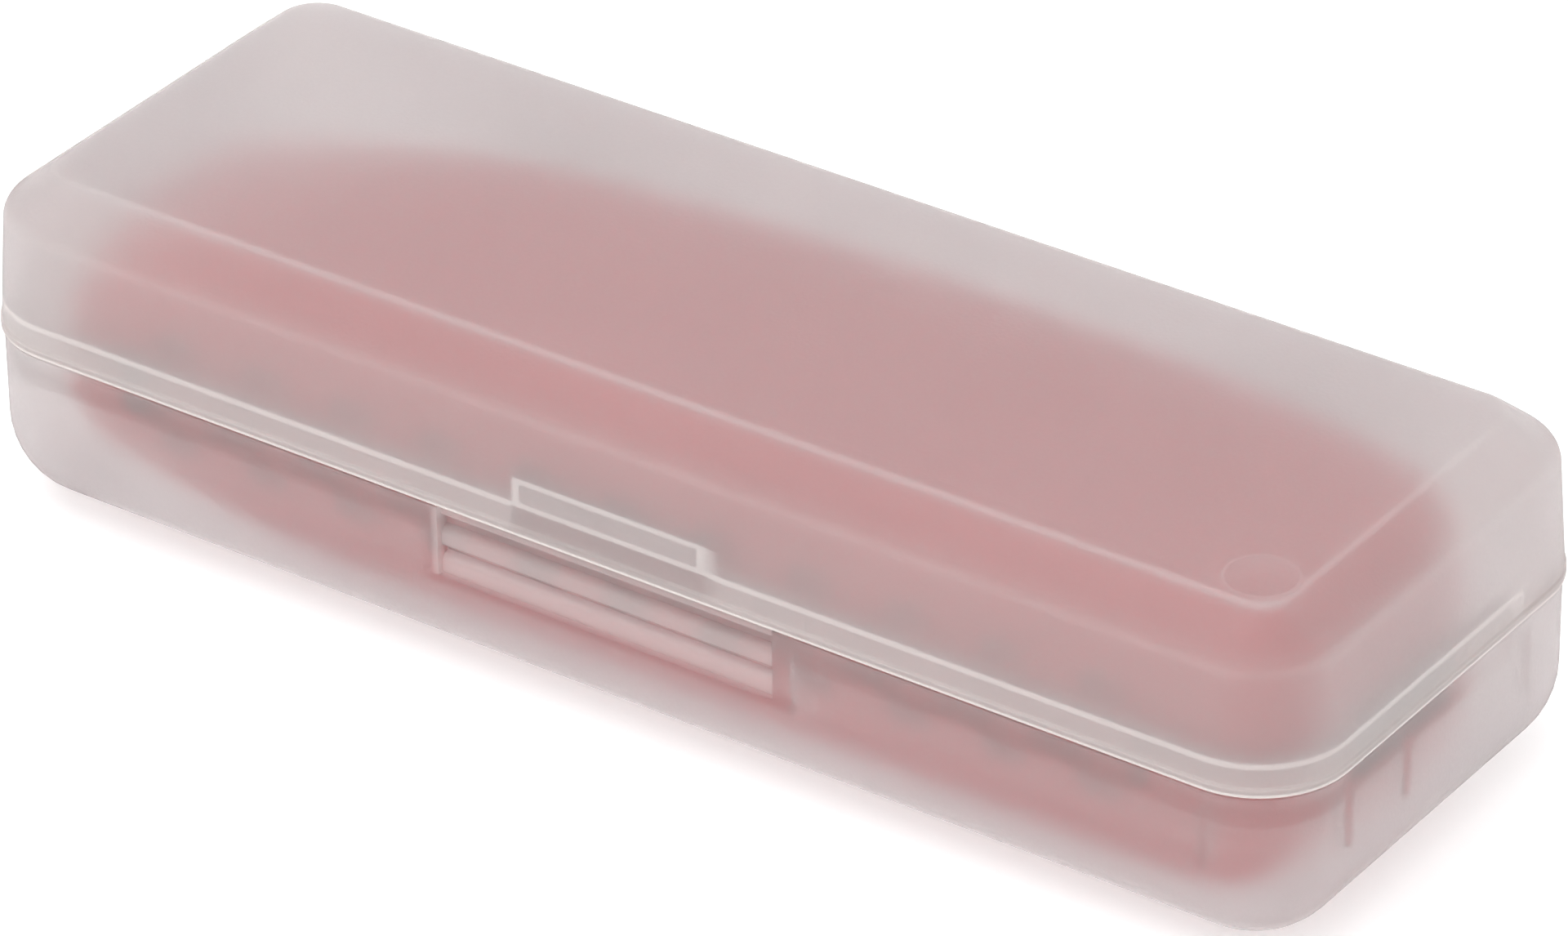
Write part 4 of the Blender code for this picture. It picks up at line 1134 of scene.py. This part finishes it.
def gold_metal():
    s = Shader("gold_titanium", Metallic=1.0)
    s.connect(s.colors(s.noise(160, 4), (0.78, 0.47, 0.15), (0.88, 0.58, 0.24)), "Base Color")
    s.connect(s.scaled(s.noise(1500, 3, (1, 12, 1)), 0.3, 0.7, 0.20, 0.34), "Roughness")
    s.bump(s.noise(2500, 2, (1, 8, 1)), 0.12, 0.00004)
    return s.mat


def pin_steel():
    s = Shader("pin_steel", Metallic=1.0)
    s.connect(s.colors(s.noise(300, 4), (0.58, 0.58, 0.60), (0.70, 0.70, 0.71)), "Base Color")
    s.connect(s.scaled(s.noise(1800, 3, (0.1, 1, 1)), 0.3, 0.7, 0.22, 0.38), "Roughness")
    s.bump(s.noise(3000, 2, (0.1, 1, 1)), 0.15, 0.00004)
    return s.mat


def white_plastic():
    s = Shader("white_drum_plastic")
    s.connect(s.colors(s.noise(80, 4), (0.80, 0.80, 0.775), (0.86, 0.86, 0.84)), "Base Color")
    s.connect(s.scaled(s.noise(900, 3), 0.3, 0.7, 0.32, 0.46), "Roughness")
    s.bump(s.noise(2600, 2), 0.2, 0.00004)
    return s.mat


def floor_paper():
    s = Shader("floor_paper", Roughness=0.95, Emission_Strength=0.48)
    s.connect(s.colors(s.noise(30, 4), (0.71, 0.71, 0.71), (0.73, 0.73, 0.73)), "Base Color")
    s.shader.inputs["Emission Color"].default_value = (1, 1, 1, 1)
    s.bump(s.noise(900, 3), 0.1, 0.0002)
    return s.mat


# --- Studio --------------------------------------------------------------------------------------
def camera():
    azimuth, elevation, roll = (math.radians(a) for a in CAMERA_ANGLES)
    flat = math.cos(elevation)
    back = Vector((math.sin(azimuth) * flat, -math.cos(azimuth) * flat, math.sin(elevation)))
    level = Vector((math.cos(azimuth), math.sin(azimuth), 0))
    upward = back.cross(level)
    right = level * math.cos(roll) + upward * math.sin(roll)
    up = upward * math.cos(roll) - level * math.sin(roll)
    target = Vector((0, CASE_Y, PARTING))
    cam = bpy.data.objects.new("camera", bpy.data.cameras.new("camera"))
    cam.data.lens = CAMERA_LENS
    cam.data.clip_end = 10
    across, rise, away = CAMERA_OFFSET
    cam.location = (target + right * across + up * rise + back * away) * MM
    cam.rotation_euler = Matrix((right, up, back)).transposed().to_euler()
    bpy.context.scene.collection.objects.link(cam)
    bpy.context.scene.camera = cam


def area_light(name, location, size, power):
    light = bpy.data.objects.new(name, bpy.data.lights.new(name, "AREA"))
    light.data.size = size
    light.data.energy = power
    light.location = location
    light.rotation_euler = (-light.location).to_track_quat("-Z", "Y").to_euler()
    bpy.context.scene.collection.objects.link(light)


def studio():
    scene = bpy.context.scene
    world = bpy.data.worlds.new("studio")
    world.use_nodes = True
    nodes, links = world.node_tree.nodes, world.node_tree.links
    nodes["Background"].inputs["Color"].default_value = (1, 1, 1, 1)
    place = nodes.new("ShaderNodeTexCoord")
    apart = nodes.new("ShaderNodeSeparateXYZ")
    sideways = nodes.new("ShaderNodeMath")
    sideways.operation = "ABSOLUTE"
    falloff = nodes.new("ShaderNodeMapRange")
    falloff.inputs["From Min"].default_value = 0.4
    falloff.inputs["To Min"].default_value = 1.0
    falloff.inputs["To Max"].default_value = END_STRENGTH
    links.new(place.outputs["Generated"], apart.inputs["Vector"])
    links.new(apart.outputs["X"], sideways.inputs[0])
    links.new(sideways.outputs["Value"], falloff.inputs["Value"])
    links.new(falloff.outputs["Result"], nodes["Background"].inputs["Strength"])
    scene.world = world
    scene.view_settings.view_transform = "Standard"
    scene.cycles.max_bounces = LIGHT_BOUNCES
    scene.cycles.transmission_bounces = LIGHT_BOUNCES
    scene.cycles.transparent_max_bounces = 16
    area_light("top_light", Vector((-0.15, -0.2, 0.9)), size=0.9, power=4.0)
    mesh = bpy.data.meshes.new("floor")
    corners = [(x * FLOOR_HALF, y * FLOOR_HALF, 0) for x, y in ((-1, -1), (1, -1), (1, 1), (-1, 1))]
    mesh.from_pydata(corners, [], [(0, 1, 2, 3)])
    mesh.materials.append(floor_paper())
    floor = bpy.data.objects.new("floor", mesh)
    scene.collection.objects.link(floor)


def main():
    camera()
    studio()
    materials = {
        "handle": plum_plastic("plum_abs"),
        "grip": grip_rubber(),
        "head": plum_plastic("plum_fork_plastic"),
        "drum": white_plastic(),
        "gold": gold_metal(),
        "steel": pin_steel(),
    }
    frost = frosted_plastic()
    case_base(frost, polished_plastic())
    case_lid(frost)
    cradle(red_plastic())
    handle(materials)
    drum(materials)
    hinge_pins(materials["steel"])


main()
